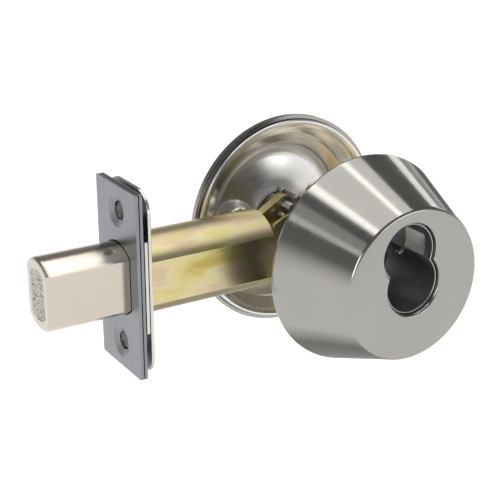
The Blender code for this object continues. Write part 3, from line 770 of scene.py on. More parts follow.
@dataclass(frozen=True)
class YellowZinc:
    """Steel plated with yellow zinc chromate, whose colour shifts in soft patches."""

    name: str
    roughness: float = 0.27
    patch: float = 85.0
    depth: float = 0.000003

    def material(self) -> bpy.types.Material:
        """Build the material.

        Returns:
            The material.
        """
        weave = Weave(self.name)
        drift = weave.noise(weave.place((0.35, 1.0, 1.0)), self.patch, 3.0, 0.55)
        mottle = weave.noise(weave.place((1.0, 1.0, 1.0)), 900.0, 4.0, 0.65)
        lines = weave.noise(weave.place((60.0, 4000.0, 4000.0)), 1.0, 2.0)
        film = weave.blend(drift, mottle, 0.06)
        colour = weave.ramp(film, ((0.34, (0.50, 0.38, 0.12)), (0.42, (0.62, 0.54, 0.22)),
                                   (0.49, (0.65, 0.57, 0.34)), (0.55, (0.60, 0.46, 0.31)),
                                   (0.62, (0.55, 0.53, 0.22)), (0.70, (0.68, 0.58, 0.28))))
        rough = weave.math("ADD", weave.spread(mottle, -0.02, 0.03),
                           weave.spread(drift, self.roughness, self.roughness + 0.06))
        return weave.set(Base_Color=colour, Metallic=1.0, Roughness=rough,
                         Normal=weave.bump(lines, self.depth))


@dataclass(frozen=True)
class CastMetal:
    """Dull cast or sintered metal with a fine grainy skin."""

    name: str
    colour: tuple[float, float, float]
    roughness: float = 0.45
    depth: float = 0.00002
    metallic: float = 1.0

    def material(self) -> bpy.types.Material:
        """Build the material.

        Returns:
            The material.
        """
        weave = Weave(self.name)
        grains = weave.noise(weave.place((1, 1, 1)), 2600.0, 4.0, 0.6)
        stain = weave.noise(weave.place((1, 1, 1)), 120.0, 3.0)
        colour = weave.ramp(weave.blend(grains, stain, 0.5), ((0.3, tint(self.colour, 0.72)),
                                                              (0.7, tint(self.colour, 1.25))))
        rough = weave.spread(stain, self.roughness - 0.07, self.roughness + 0.07)
        return weave.set(Base_Color=colour, Metallic=self.metallic, Roughness=rough,
                         Normal=weave.bump(grains, self.depth, 0.6))


COLLAR_STEEL = BrushedMetal("collar_satin_steel", (0.365, 0.354, 0.33), 0.125, Grain.ROUND_Y)
COVER_STEEL = BrushedMetal("cover_satin_steel", (0.37, 0.36, 0.345), 0.20, Grain.ROUND_Y)
DISH_STEEL = DrawnDish("rose_drawn_steel", (0.80, 0.79, 0.77), (0.84, 0.77, 0.63), 0.30)
GRIP_STEEL = BrushedMetal("thumbturn_satin_steel", (0.38, 0.37, 0.35), 0.20, Grain.ALONG_X)
BOLT_NICKEL = BrushedMetal("bolt_satin_nickel", (0.59, 0.53, 0.46), 0.19, Grain.ALONG_Z)
FRONT_STEEL = BrushedMetal("faceplate_satin_steel", (0.255, 0.262, 0.28), 0.33, Grain.ALONG_Z, clouds=0.12)
BACK_NICKEL = BrushedMetal("bracket_nickel", (0.66, 0.63, 0.58), 0.28, Grain.ALONG_Z)
BARE_STEEL = BrushedMetal("hard_steel", (0.46, 0.46, 0.47), 0.32, Grain.ALONG_Y)
SCREW_STEEL = BrushedMetal("screw_steel", (0.56, 0.55, 0.53), 0.28, Grain.ALONG_Y)
ZINC = YellowZinc("yellow_zinc")
HOUSING_METAL = CastMetal("housing_metal", (0.46, 0.48, 0.47), 0.34, 0.000008)
# Paler and rougher than the housing: a painted highlight for the light that falls through the opening into
# the lug recess.
RECESS_HIGHLIGHT_METAL = BrushedMetal("recess_painted_highlight", (0.74, 0.74, 0.71), 0.42, Grain.ALONG_Y, 5000.0, clouds=0.15)
STIPPLED_METAL = CastMetal("stippled_nose", (0.50, 0.475, 0.44), 0.36, 0.00004)
BLACK_NYLON = CastMetal("black_nylon", (0.025, 0.025, 0.028), 0.5, 0.00001, 0.0)

Finish = BrushedMetal | DrawnDish | YellowZinc | CastMetal
_MADE: dict[str, bpy.types.Material] = {}


def material_of(finish: Finish) -> bpy.types.Material:
    """Build a finish's material once and give it.

    Args:
        finish: The finish.

    Returns:
        Its material.
    """
    if finish.name not in _MADE:
        _MADE[finish.name] = finish.material()
    return _MADE[finish.name]


# ---------------------------------------------------------------- fitting pieces to the frame

RECORD = frame["record"]
BODY_OF = {node: body for body, nodes in RECORD["behaviour"]["bodies"].items() for node in nodes}


@dataclass(frozen=True)
class Extent:
    """The box that a CAD node fills."""

    low: Vector
    high: Vector

    @classmethod
    def of(cls, node: str) -> "Extent":
        """Read a node's box from the frame."""
        low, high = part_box(node)
        return cls(Vector(low), Vector(high))

    def half(self, axis: Axis) -> float:
        """Half the box's size along an axis."""
        return (self.high[axis.value] - self.low[axis.value]) / 2

    @property
    def middle(self) -> Vector:
        """Middle of the box."""
        return (self.low + self.high) / 2


def install(piece: bpy.types.Object, node: str, finish: Finish) -> bpy.types.Object:
    """Dress a piece, let it ride on its node's body and stand for the node.

    Args:
        piece: The finished piece.
        node: The CAD node that it replaces.
        finish: Its finish.

    Returns:
        The piece.
    """
    piece.data.materials.clear()
    piece.data.materials.append(material_of(finish))
    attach(piece, BODY_OF[node])
    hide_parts(node)
    LOG.info("%s: %d faces", piece.name, len(piece.data.polygons))
    return piece


def pin_for(node: str, axis: Axis, finish: Finish, edge: float = 0.25 * MM,
            steps: int = 48) -> bpy.types.Object:
    """Replace a plain round node with a smooth rod that has rounded ends.

    Args:
        node: The CAD node.
        axis: The rod's direction.
        finish: Its finish.
        edge: Radius of its rounded ends.
        steps: Facets round it.

    Returns:
        The rod.
    """
    extent = Extent.of(node)
    across = Axis.Z if axis is not Axis.Z else Axis.X
    start, end = extent.low[axis.value], extent.high[axis.value]
    centre = extent.middle
    centre[axis.value] = 0.0
    rod = turned(f"{node}_look", rounded_rod(extent.half(across), start, end, edge), axis, steps, centre)
    return install(rod, node, finish)


# ---------------------------------------------------------------- sub-assemblies

GAP = 0.3 * MM
PIN_ROOM = 0.12 * MM


@dataclass
class CoreSocket:
    """The figure-eight opening that takes an interchangeable core."""

    spacing: float = 9.8 * MM
    radius: float = 8.7 * MM
    lean: float = math.radians(10)

    def outline(self, grow: float = 0.0, count: int = 44) -> Outline:
        """Give the two lobes' outline.

        Args:
            grow: How much wider than the socket.
            count: Points on each lobe.

        Returns:
            The outline as (x, z) points.
        """
        radius = self.radius + grow
        waist = math.asin(self.spacing / 2 / radius)
        lower = arc((0.0, 0.0), radius, math.pi - waist, 2 * math.pi + waist, count)
        upper = arc((0.0, self.spacing), radius, -waist, math.pi + waist, count)
        return rotated(lower[:-1] + upper[:-1], self.lean)

    def middles(self) -> list[Vector]:
        """Give the middles of the two lobes as (x, z)."""
        return [Vector(point) for point in rotated([(0.0, 0.0), (0.0, self.spacing)], self.lean)]


@dataclass
class OutsideTrim:
    """The cone-shaped collar, the core housing and what turns inside it."""

    socket: CoreSocket
    wall: float = 3.0 * MM
    face_radius: float = 23.1 * MM
    base_radius: float = 33.0 * MM
    face_edge: float = 1.1 * MM
    base_edge: float = 0.8 * MM
    opening_step: float = 0.6 * MM
    opening_edge: float = 0.9 * MM
    housing_edge: float = 0.45 * MM
    lip_wall: float = 0.4 * MM
    lip_depth: float = 1.3 * MM
    throw_hole: float = 6.3 * MM
    post_offset: float = 15.8 * MM
    post_radius: float = 4.2 * MM
    post_hole: float = 2.4 * MM
    post_length: float = 8.0 * MM
    tap_length: float = 6.2 * MM
    tap_tip: float = 1.3 * MM
    floor_wall: float = 3.0 * MM
    rim_width: float = 1.5 * MM
    lug_low: tuple[float, float, float] = (3.2 * MM, -46.0 * MM, 6.55 * MM)
    lug_size: tuple[float, float, float] = (7.8 * MM, 9.0 * MM, 6.5 * MM)
    throw_shaft: float = 6.0 * MM
    throw_neck: float = 5.0 * MM
    flange_start: float = 5.7 * MM
    flange_wall: float = 2.3 * MM
    prong_radius: float = 1.1 * MM
    prong_offset: float = 2.9 * MM
    blade_depth: float = 4.1 * MM
    clip_outer: float = 8.6 * MM
    clip_inner: float = 5.3 * MM
    clip_mouth: float = math.radians(50)
    steps: int = 192

    def build(self) -> None:
        """Build every piece of the outside trim."""
        self.collar()
        self.housing()
        self.throw_member()
        self.throw_retainer()
        pin_for("core_stop_pin", Axis.X, BOLT_NICKEL, steps=32)
        tailpiece = Extent.of("tailpiece")
        blade = block(tailpiece.low, tailpiece.high, 0.25 * MM)
        blade.name = "tailpiece_look"
        install(blade, "tailpiece", BARE_STEEL)

    def collar(self) -> None:
        """Turn the cone and open its face."""
        extent = Extent.of("cylinder_collar")
        face, base = extent.low.y, extent.high.y
        slope = (self.base_radius - self.face_radius) / (base - face)
        inner_face = face + self.wall
        inner_radius = self.face_radius + slope * self.wall - self.wall
        lip = self.base_edge
        outside = softened([
            (self.face_radius - 2 * self.face_edge, face), (self.face_radius, face),
            (self.base_radius - slope * lip, base - lip), (self.base_radius - slope * lip - lip * 0.3, base),
            (self.base_radius - self.wall, base)], self.face_edge, 7)
        inside = [(self.base_radius - self.wall, base), (inner_radius, inner_face)]
        shape = Shape()
        shape.turn(outside + inside[1:], Axis.Y, self.steps, closed=False)
        rim = self.face_radius - 2 * self.face_edge
        outer = shape.ring(circle((0, 0), rim, self.steps), Axis.Y, face)
        inner = shape.ring(circle((0, 0), inner_radius, self.steps), Axis.Y, inner_face)
        step, edge = self.opening_step, self.opening_edge
        mouth = [shape.ring(self.socket.outline(step + grow), Axis.Y, place)
                 for grow, place in (*rolled_edge(edge, face), (0.0, inner_face))]
        shape.fill(outer, mouth[0])
        shape.fill(inner, mouth[-1])
        shape.tunnel(mouth)
        install(weighted(shape.build("collar")), "cylinder_collar", COLLAR_STEEL)

    def housing(self) -> None:
        """Make the housing with its socket, lug recess, posts and tapped holes; the lug recess gets a paler
        metal, a painted highlight.
        """
        extent = Extent.of("core_housing")
        front, post_end = extent.low.y, extent.high.y
        rear = post_end - self.post_length
        floor = rear - self.floor_wall
        radius = extent.half(Axis.Z)
        rim = radius - self.rim_width
        shape = Shape()
        skin = softened([(rim, front), (radius, front), (radius, rear), (rim, rear)], self.housing_edge)
        shape.turn(skin, Axis.Y, self.steps, closed=False)
        front_rim, rear_rim = (shape.ring(circle((0, 0), rim, self.steps), Axis.Y, place)
                               for place in (front, rear))
        lip = Extent.of("cylinder_collar").low.y + self.lip_depth
        crest = self.lip_wall / 2
        rounded = [(crest * (1 + math.cos(a)), lip + crest * (1 - math.sin(a)))
                   for a in (2 * QUARTER * i / 8 for i in range(9))]
        mouth = [shape.ring(self.socket.outline(grow), Axis.Y, place)
                 for grow, place in ((self.lip_wall, front), *rounded)]
        mouth.append(shape.ring(self.socket.outline(), Axis.Y, floor))
        hole = [shape.ring(circle((0, 0), self.throw_hole), Axis.Y, place) for place in (floor, rear)]
        shape.fill(front_rim, mouth[0])
        shape.tunnel(mouth)
        shape.fill(mouth[-1], hole[0])
        shape.tunnel(hole)
        shape.fill(rear_rim, hole[1])
        housing = shape.build("housing")
        tap = post_end - self.tap_length
        tapped = softened([(0.0, tap - self.tap_tip), (self.post_hole, tap), (self.post_hole, post_end),
                           (self.post_radius, post_end), (self.post_radius, rear - MM), (0.0, rear - MM)],
                          0.3 * MM, 4)
        combined(housing, [cutter(tapped, Axis.Y, side) for side in both_sides(self.post_offset)], "UNION")
        lug_low = Vector(self.lug_low)
        lug_high = lug_low + Vector(self.lug_size)
        pin = Extent.of("core_stop_pin")
        seat = cutter(plain_rod(pin.half(Axis.Z) + 0.15 * MM, pin.low.x - GAP, radius + MM), Axis.X,
                      Vector((0, pin.middle.y, pin.middle.z)))
        combined(housing, [block(lug_low, lug_high, 0.4 * MM), seat], "DIFFERENCE")
        install(weighted(housing), "core_housing", HOUSING_METAL)
        # The lug recess faces get the paler metal, a painted highlight.
        housing.data.materials.append(material_of(RECESS_HIGHLIGHT_METAL))
        for face in housing.data.polygons:
            x, y, z = face.center
            inside = (x > 2.0 * MM and lug_low.y < y < lug_high.y + 0.1 * MM
                      and lug_low.z - 0.1 * MM < z < lug_high.z + 0.1 * MM)
            reach = min(math.hypot(*(Vector((x, z)) - lobe)) for lobe in self.socket.middles())
            if inside and reach > self.socket.radius + 0.05 * MM:
                face.material_index = 1

    def throw_member(self) -> None:
        """Turn the throw member, with its two prongs and the slot for the tailpiece."""
        extent = Extent.of("throw_member")
        start, end = extent.low.y, extent.high.y
        flange = start + self.flange_start
        flange_end, flange_radius = flange + self.flange_wall, extent.half(Axis.Z)
        clip = Extent.of("throw_retainer")
        groove, groove_end = clip.low.y - GAP, clip.high.y + GAP
        shaft, neck = self.throw_shaft, self.throw_neck
        corners = [(0.0, flange), (flange_radius, flange), (flange_radius, flange_end), (shaft, flange_end),
                   (shaft, groove), (neck, groove), (neck, groove_end), (shaft, groove_end), (shaft, end),
                   (0.0, end)]
        throw = turned("throw_member_look", softened(corners, 0.3 * MM, 4), Axis.Y, 72)
        prong = rounded_rod(self.prong_radius, start, flange + MM, 0.4 * MM)
        combined(throw, [cutter(prong, Axis.Y, side, 32) for side in both_sides(self.prong_offset)], "UNION")
        combined(throw, [self.blade_slot(end - self.blade_depth, end + MM)], "DIFFERENCE")
        install(throw, "throw_member", BARE_STEEL)

    @staticmethod
    def blade_slot(start: float, end: float) -> bpy.types.Object:
        """Make the tool that cuts a slot for the tailpiece.

        Args:
            start: Place along the cylinder where the slot starts.
            end: Place where it ends.

        Returns:
            The tool.
        """
        blade = Extent.of("tailpiece")
        low = Vector((blade.low.x - GAP, start, blade.low.z - GAP))
        high = Vector((blade.high.x + GAP, end, blade.high.z + GAP))
        return block(low, high)

    def throw_retainer(self) -> None:
        """Stamp the open clip that keeps the throw member in."""
        extent = Extent.of("throw_retainer")
        start, end = self.clip_mouth - QUARTER, 3 * QUARTER - self.clip_mouth
        hook = arc((0, 0), self.clip_outer, start, end, 56)
        hook += arc((0, 0), self.clip_inner, end, start, 56)
        clip = plate("throw_retainer_look", [hook], [hook], Axis.Y, extent.low.y, extent.high.y)
        install(bevelled(clip, 0.15 * MM), "throw_retainer", BARE_STEEL)


@dataclass
class LatchFront:
    """The plates at the door's edge and the tube behind them."""

    bolt_radius: float = 11.0 * MM
    bolt_flats: float = 7.8 * MM
    screw_offset: float = 20.6 * MM
    screw_hole: float = 2.8 * MM
    sink: float = 5.0 * MM
    bracket_corner: float = 7.0 * MM
    bushing_flange: float = 0.95 * MM
    sleeve_overlap: float = 0.4 * MM
    tube_wall: float = 0.9 * MM
    tube_edge: float = 0.22 * MM
    drain_radius: float = 0.45 * MM
    drain_inset: float = 3.0 * MM
    drain_drop: float = 5.6 * MM
    edge: float = 0.16 * MM

    def holes(self, radius: float) -> list[Outline]:
        """Give the two screw holes' outlines."""
        return [circle((0.0, side * self.screw_offset), radius, 48) for side in SIDES]

    def build(self) -> None:
        """Build the plates, the bushing and the tube."""
        hole = flatted(self.bolt_radius + GAP, self.bolt_flats + GAP)
        front = Extent.of("faceplate")
        width, height = front.half(Axis.Y), front.half(Axis.Z)
        sheet = rounded_rectangle(width, height, 0.7 * MM, 5)
        drilled = [sheet, hole, *self.holes(self.screw_hole)]
        faceplate = plate("faceplate_look", [sheet, hole, *self.holes(self.sink)], drilled,
                          Axis.X, front.low.x, front.high.x, 15.0)
        install(bevelled(faceplate, self.edge), "faceplate", FRONT_STEEL)

        back = Extent.of("backing_plate")
        backing = plate("backing_plate_look", drilled, drilled, Axis.X, back.low.x, back.high.x)
        install(bevelled(backing, self.edge), "backing_plate", FRONT_STEEL)

        tube = Extent.of("latch_tube")
        bore = flatted(self.bolt_radius + GAP, tube.half(Axis.Y) - self.tube_wall)
        behind = Extent.of("latch_bracket")
        rounded = rounded_rectangle(width, height, self.bracket_corner, 12)
        carrier = [rounded, bore, *self.holes(self.screw_hole)]
        bracket = plate("bracket_look", carrier, carrier, Axis.X, behind.low.x, behind.high.x)
        install(bevelled(bracket, self.edge), "latch_bracket", BACK_NICKEL)

        self.bushing(hole, tube.half(Axis.Y) - self.tube_wall - GAP)
        self.tube(bore, tube)

    def bushing(self, hole: Outline, cheek: float) -> None:
        """Make the flanged bushing that guides the bolt's flats.

        Args:
            hole: Outline of the bolt's hole.
            cheek: How far out the sleeve's flats stand.
        """
        extent = Extent.of("bolt_bushing")
        low, high = extent.low, extent.high
        flange_end = low.x + self.bushing_flange
        sheet = rounded_rectangle(extent.half(Axis.Y), extent.half(Axis.Z), 0.4 * MM, 4)
        bushing = plate("bushing_look", [sheet, hole], [sheet, hole], Axis.X, low.x, flange_end)
        sleeve_outline = flatted(self.bolt_radius, cheek)
        sleeve = plate("tool", [sleeve_outline], [sleeve_outline], Axis.X, flange_end - self.sleeve_overlap,
                       high.x)
        channel, reach = self.bolt_flats + GAP, self.bolt_radius + MM
        combined(sleeve, [block((low.x - MM, -channel, -reach), (high.x + MM, channel, reach))], "DIFFERENCE")
        combined(bushing, [sleeve], "UNION")
        install(bevelled(bushing, self.edge), "bolt_bushing", BACK_NICKEL)

    def tube(self, bore: Outline, extent: Extent) -> None:
        """Draw the tube, with a small drain hole low on each flat near its end.

        Args:
            bore: Outline of the inside.
            extent: The tube's box.
        """
        skin = flatted(extent.half(Axis.Z), extent.half(Axis.Y))
        tube = plate("tube_look", [skin, bore], [skin, bore], Axis.X, extent.low.x, extent.high.x, 20.0)
        reach = extent.half(Axis.Y) + MM
        drain = rounded_rod(self.drain_radius, -reach, reach, 0.1 * MM)
        spot = Vector((extent.high.x - self.drain_inset, 0, -self.drain_drop))
        combined(tube, [cutter(drain, Axis.Y, spot, 24)], "DIFFERENCE")
        install(bevelled(tube, self.tube_edge, 3, 20.0), "latch_tube", ZINC)


@dataclass
class BoltGroup:
    """The bolt, the loose pin in it and the tail that the crank drives."""

    radius: float = 11.0 * MM
    flats: float = 7.8 * MM
    nose_edge: float = 1.3 * MM
    patch_margin: float = 3.1 * MM
    patch_border: float = 0.35 * MM
    patch_depth: float = 0.45 * MM
    patch_rings: int = 46
    tail_top: float = 10.8 * MM
    tail_bottom: float = 7.6 * MM

    def build(self) -> None:
        """Build the bolt and the pieces that travel with it."""
        self.bolt()
        pin_for("anti_saw_pin", Axis.X, BARE_STEEL, 0.6 * MM)
        self.tail()
        pin_for("tail_rivet", Axis.Y, BARE_STEEL)
        pin_for("crank_pin", Axis.Y, BARE_STEEL)

    def section(self, inset: float) -> Outline:
        """Give the bolt's section, smaller all round by an inset."""
        return flatted(self.radius - inset, self.flats - inset, 48, 36)

    def patch_reach(self, y: float, z: float) -> float:
        """Give how far inside the nose's rough oval a point is."""
        return min(self.radius - math.hypot(y, z), self.flats - abs(y)) - self.patch_margin

    def bolt(self) -> None:
        """Make the bolt with its rounded nose and rough oval."""
        extent = Extent.of("bolt")
        nose, rear = extent.low.x, extent.high.x
        shape = Shape()
        edge = self.nose_edge
        rings = [shape.ring(self.section(inset), Axis.X, place) for inset, place in rolled_edge(edge, nose)]
        rings.append(shape.ring(self.section(0.0), Axis.X, rear))
        shape.tunnel(rings)
        shape.fill(rings[-1])
        face = [rings[0]]
        for k in range(1, self.patch_rings):
            share = 1 - k / self.patch_rings
            face.append(shape.ring([(u * share, v * share) for u, v in self.section(edge)], Axis.X,
                                   nose - k * 0.1 * MM))
        shape.tunnel(face)
        shape.fill(face[-1])

        def stipple(co: Vector) -> Vector:
            """Flatten the cone that the nose is drawn as, and roughen the oval in its middle.

            Args:
                co: A place on the bolt.

            Returns:
                Its new place.
            """
            if co.x > nose + 0.01 * MM:
                return co
            co = Vector((nose, co.y, co.z))
            share = max(0.0, min(1.0, self.patch_reach(co.y, co.z) / self.patch_border))
            rough = 0.55 + 0.7 * noise.noise(co * 1500.0) + 0.5 * noise.noise(co * 2600.0)
            return Vector((co.x + share * self.patch_depth * max(rough, 0.0), co.y, co.z))

        bolt = shape.bend(stipple).build("bolt_look", 35.0)
        pin = Extent.of("anti_saw_pin")
        tail = Extent.of("bolt_tail")
        rivet = Extent.of("tail_rivet")
        bore = cutter(plain_rod(pin.half(Axis.Z) + GAP, pin.low.x - GAP, rear + MM), Axis.X,
                      Vector((0, 0, 0)))
        slot = block((tail.low.x - GAP, tail.low.y - GAP, tail.low.z - GAP),
                     (rear + MM, tail.high.y + GAP, self.radius + MM))
        seat = rounded_rod(rivet.half(Axis.Z) + PIN_ROOM, -self.radius, self.radius, 0.1 * MM)
        seat_tool = cutter(seat, Axis.Y, Vector((rivet.middle.x, 0, rivet.middle.z)), 32)
        combined(bolt, [bore, slot, seat_tool], "DIFFERENCE")
        install(weighted(bolt), "bolt", BOLT_NICKEL)
        bolt.data.materials.append(material_of(STIPPLED_METAL))
        for face in bolt.data.polygons:
            x, y, z = face.center
            if x < nose + self.patch_depth * 1.8 and self.patch_reach(y, z) > 0:
                face.material_index = 1

    def tail(self) -> None:
        """Stamp the tail, whose root is riveted into the bolt and whose eye holds the crank pin."""
        extent = Extent.of("bolt_tail")
        pin = Extent.of("crank_pin")
        rivet = Extent.of("tail_rivet")
        bolt_rear = Extent.of("bolt").high.x
        tube_end = Extent.of("latch_tube").high.x
        root, top, bottom = bolt_rear + GAP, self.tail_top, self.tail_bottom
        eye = (pin.middle.x, pin.middle.z)
        corners = [(extent.low.x, top), (extent.low.x, extent.low.z), (root, extent.low.z),
                   (root, bottom), (eye[0], bottom)]
        outline = softened(corners, 0.5 * MM, 4)
        outline += arc(eye, extent.high.z - eye[1], -QUARTER / 2, 1.5 * QUARTER, 28)
        outline.append((tube_end + GAP, top))
        holes = [circle(eye, pin.half(Axis.Z) + 0.15 * MM, 40),
                 circle((rivet.middle.x, rivet.middle.z), rivet.half(Axis.Z) + PIN_ROOM, 32)]
        rings = [outline, *holes]
        tail = plate("bolt_tail_look", rings, rings, Axis.Y, extent.low.y, extent.high.y)
        install(bevelled(tail, 0.2 * MM), "bolt_tail", ZINC)


@dataclass
class LatchCase:
    """The two side frames, their rivets and the crank between them."""

    journal: float = 5.4 * MM
    hub: float = 7.0 * MM
    pin_height: float = 12.7 * MM
    slot_half: float = 2.68 * MM
    prong: float = 1.9 * MM
    slot_end: float = 19.2 * MM
    swing: float = math.radians(90)
    screw_offset: float = 15.8 * MM
    screw_hole: float = 3.3 * MM
    shoulder: float = 4.7 * MM
    tongue: float = 6.3 * MM
    notch_end: float = 8.0 * MM
    notch_slope: float = 4.0 * MM
    notch_level: float = 7.5 * MM
    corner: float = 1.2 * MM
    slot_rise: float = 1.8 * MM
    fork_wall: float = 3.0 * MM
    fork_starts: tuple[float, float] = (2.6 * MM, -5.6 * MM)
    rivets: tuple[str, ...] = ("frame_rivet_front", "frame_rivet_lower", "frame_rivet_rear")

    def build(self) -> None:
        """Build the case and the crank."""
        for node in ("frame_outer", "frame_inner"):
            self.side_frame(node)
        for node in self.rivets:
            pin_for(node, Axis.Y, BARE_STEEL, 0.3 * MM)
        self.crank()

    def side_frame(self, node: str) -> None:
        """Stamp one side frame, whose upper edge is cut down near the tube on the inner one.

        Args:
            node: The frame's CAD node.
        """
        extent = Extent.of(node)
        tube = Extent.of("latch_tube")
        high, rear, start = extent.high.z, extent.high.x, extent.low.x
        shoulder_x = tube.high.x + GAP
        half = [(rear, high - self.shoulder), (rear - self.shoulder, high),
                (shoulder_x + self.shoulder, high), (shoulder_x, high - self.shoulder / 2),
                (shoulder_x, self.tongue), (start, self.tongue)]
        upper = half
        if node == "frame_inner":
            upper = [*half[:2], (self.notch_end + self.notch_slope, high), (self.notch_end, self.notch_level),
                     (shoulder_x, self.notch_level), *half[4:]]
        outline = softened(upper + [(x, -z) for x, z in reversed(half)], self.corner, closed=True)
        rings = [outline, circle((0, 0), self.journal + GAP / 2)]
        rings += [circle((side * self.screw_offset, 0.0), self.screw_hole) for side in SIDES]
        for name in self.rivets:
            rivet = Extent.of(name)
            rings.append(circle((rivet.middle.x, rivet.middle.z), rivet.half(Axis.Z) + PIN_ROOM, 40))
        side = plate(f"{node}_look", rings, rings, Axis.Y, extent.low.y, extent.high.y)
        install(bevelled(side, 0.18 * MM), node, ZINC)

    def crank(self) -> None:
        """Make the crank's hub, journals and slotted forks."""
        extent = Extent.of("crank")
        end = extent.high.y
        hub_end = Extent.of("frame_inner").low.y - GAP
        corners = [(0.0, end), (self.journal, end), (self.journal, hub_end), (self.hub, hub_end),
                   (self.hub, -hub_end), (self.journal, -hub_end), (self.journal, -end), (0.0, -end)]
        crank = turned("crank_look", softened(corners, 0.3 * MM, 4), Axis.Y, 96)
        half = self.slot_half + self.prong
        start = self.pin_height - self.slot_rise
        bottom = arc((0.0, start + self.slot_half), self.slot_half, 0.0, -QUARTER, 10)
        side = [(half, 0.0), (half, self.slot_end - MM), (half - 0.5 * MM, self.slot_end),
                (self.slot_half + 0.2 * MM, self.slot_end), *bottom]
        outline = rotated(side + [(-x, z) for x, z in reversed(side[:-1])], self.swing / 2)
        forks = [bevel_tool(plate("tool", [outline], [outline], Axis.Y, low, low + self.fork_wall), 0.25 * MM)
                 for low in self.fork_starts]
        combined(crank, forks, "UNION")
        combined(crank, [OutsideTrim.blade_slot(-end - MM, end + MM)], "DIFFERENCE")
        install(crank, "crank", BARE_STEEL)


@dataclass
class InsideTrim:
    """The rose, the thumbturn on it and the screws that reach through the door."""

    plate_wall: float = 0.9 * MM
    cover_wall: float = 1.1 * MM
    rim_roll: float = 0.5 * MM
    radius: float = 35.2 * MM
    shoulder: float = 1.0 * MM
    dome_power: float = 2.6
    dimple_offset: float = 15.8 * MM
    dimple_radius: float = 7.2 * MM
    dimple_tip: float = 4.9 * MM
    dimple_level: float = 5.2 * MM
    dimple_hole: float = 3.7 * MM
    access_radius: float = 5.6 * MM
    wall_height: float = 2.2 * MM
    hub_hole: float = 7.3 * MM
    bushing_rim: float = 0.9 * MM
    bushing_body: float = 8.2 * MM
    bushing_bore: float = 4.9 * MM
    nut_outer: float = 8.0 * MM
    nut_root: float = 6.9 * MM
    nut_tip: float = 4.85 * MM
    nut_wall: float = 0.55 * MM
    nut_teeth: int = 8
    tooth_bend: float = 0.22
    blade_depth: float = 9.0 * MM
    hub_radius: float = 8.6 * MM
    bar_half: float = 4.5 * MM
    head_depth: float = 2.4 * MM
    shank_length: float = 12.0 * MM
    shank: float = 2.05 * MM
    thread_root: float = 1.65 * MM
    thread_pitch: float = 0.8 * MM
    cross_depth: float = 1.2 * MM
    cross_arm: tuple[float, float] = (2.4 * MM, 0.5 * MM)
    steps: int = 176

    def build(self) -> None:
        """Build the rose and everything on it."""
        self.rose_plate()
        self.rose_cover()
        self.bushing()
        self.push_nut()
        self.spindle()
        pin_for("turn_pin", Axis.Z, BARE_STEEL, 0.2 * MM, 32)
        self.thumbturn()
        for node in ("mounting_screw_left", "mounting_screw_right"):
            self.mounting_screw(node)

    def rose_plate(self) -> None:
        """Draw the stepped dish with its two screw dimples."""
        door = Extent.of("rose_plate").low.y
        steps = [(33.2, 0.0), (32.85, 0.05), (32.3, 1.0), (31.35, 1.9), (30.9, 2.7), (28.6, 5.2), (28.1, 6.0),
                 (24.9, 8.0), (24.2, 8.9)]
        bowl = [(24.2, 8.9), (22.6, 9.85), (21.0, 10.28), (19.8, 10.27), (19.0, 10.13), (17.0, 9.66),
                (15.0, 9.08), (13.0, 8.4), (11.6, 7.8), (10.3, 7.05), (9.4, 6.4), (8.7, 6.0)]
        skirt = Extent.of("rose_plate").high.x
        roll = self.rim_roll
        rim = [(skirt, Extent.of("rose_cover").low.y + GAP)]
        rim += arc((skirt - roll, door + roll), roll, 0.0, -QUARTER, 9)
        rim += softened([(r * MM, door + rise * MM) for r, rise in steps], 0.14 * MM, 5)
        dish = smooth_line([(r * MM, door + rise * MM) for r, rise in bowl], 6)
        shape = Shape()
        shape.turn(walled(rim[:-1] + dish, self.plate_wall), Axis.Y, self.steps)

        def press(co: Vector) -> Vector:
            """Push the sheet towards the door round each screw.

            Args:
                co: A place on the rose.

            Returns:
                Its new place.
            """
            away = math.hypot(abs(co.x) - self.dimple_offset, co.z)
            if away >= self.dimple_radius:
                return co
            share = min(1.0, (self.dimple_radius - away) / (self.dimple_radius - self.dimple_tip))
            eased = share * share * (3 - 2 * share)
            reach = math.hypot(co.x, co.z)
            sheet = min(dish, key=lambda spot: abs(spot[0] - reach))[1]
            return Vector((co.x, co.y + (door + self.dimple_level - sheet) * eased, co.z))

        dish_plate = shape.bend(press).build("rose_plate_look", 50.0)
        drill = plain_rod(self.dimple_hole, door, door + 12 * MM)
        holes = [cutter(drill, Axis.Y, spot, 64) for spot in both_sides(self.dimple_offset)]
        combined(dish_plate, holes, "DIFFERENCE")
        install(dish_plate, "rose_plate", DISH_STEEL)

    def rose_cover(self) -> None:
        """Draw the domed cover with its rim and access holes."""
        extent = Extent.of("rose_cover")
        low, top = extent.low.y, extent.high.y
        wall_end = low + self.wall_height
        base = wall_end + self.shoulder / 2
        radius, hole, count = self.radius - self.shoulder, self.hub_hole, 40
        radii = [hole + (radius - hole) * i / count for i in range(count + 1)]
        dome = [(r, base + (top - base) * (1 - (r / radius) ** self.dome_power)) for r in radii]
        rim = softened([dome[-1], (self.radius, wall_end), (self.radius, low)], self.shoulder * 0.7, 7)
        shape = Shape()
        shape.turn(walled(dome[:-1] + rim, self.cover_wall), Axis.Y, self.steps)
        cover = shape.build("rose_cover_look", 50.0)
        drill = plain_rod(self.access_radius, wall_end, top + MM)
        holes = [cutter(drill, Axis.Y, spot, 72) for spot in both_sides(self.dimple_offset)]
        combined(cover, holes, "DIFFERENCE")
        install(cover, "rose_cover", COVER_STEEL)

    def bushing(self) -> None:
        """Turn the black bushing that the spindle runs in."""
        extent = Extent.of("turn_bushing")
        start, end = extent.low.y, extent.high.y
        rim, body, bore = extent.half(Axis.Z), self.bushing_body, self.bushing_bore
        step = end - self.bushing_rim
        corners = [(rim, end), (rim, step), (body, step), (body, start), (bore, start), (bore, end)]
        bushing = turned("turn_bushing_look", softened(corners, 0.25 * MM, 4, closed=True), Axis.Y)
        install(bushing, "turn_bushing", BLACK_NYLON)

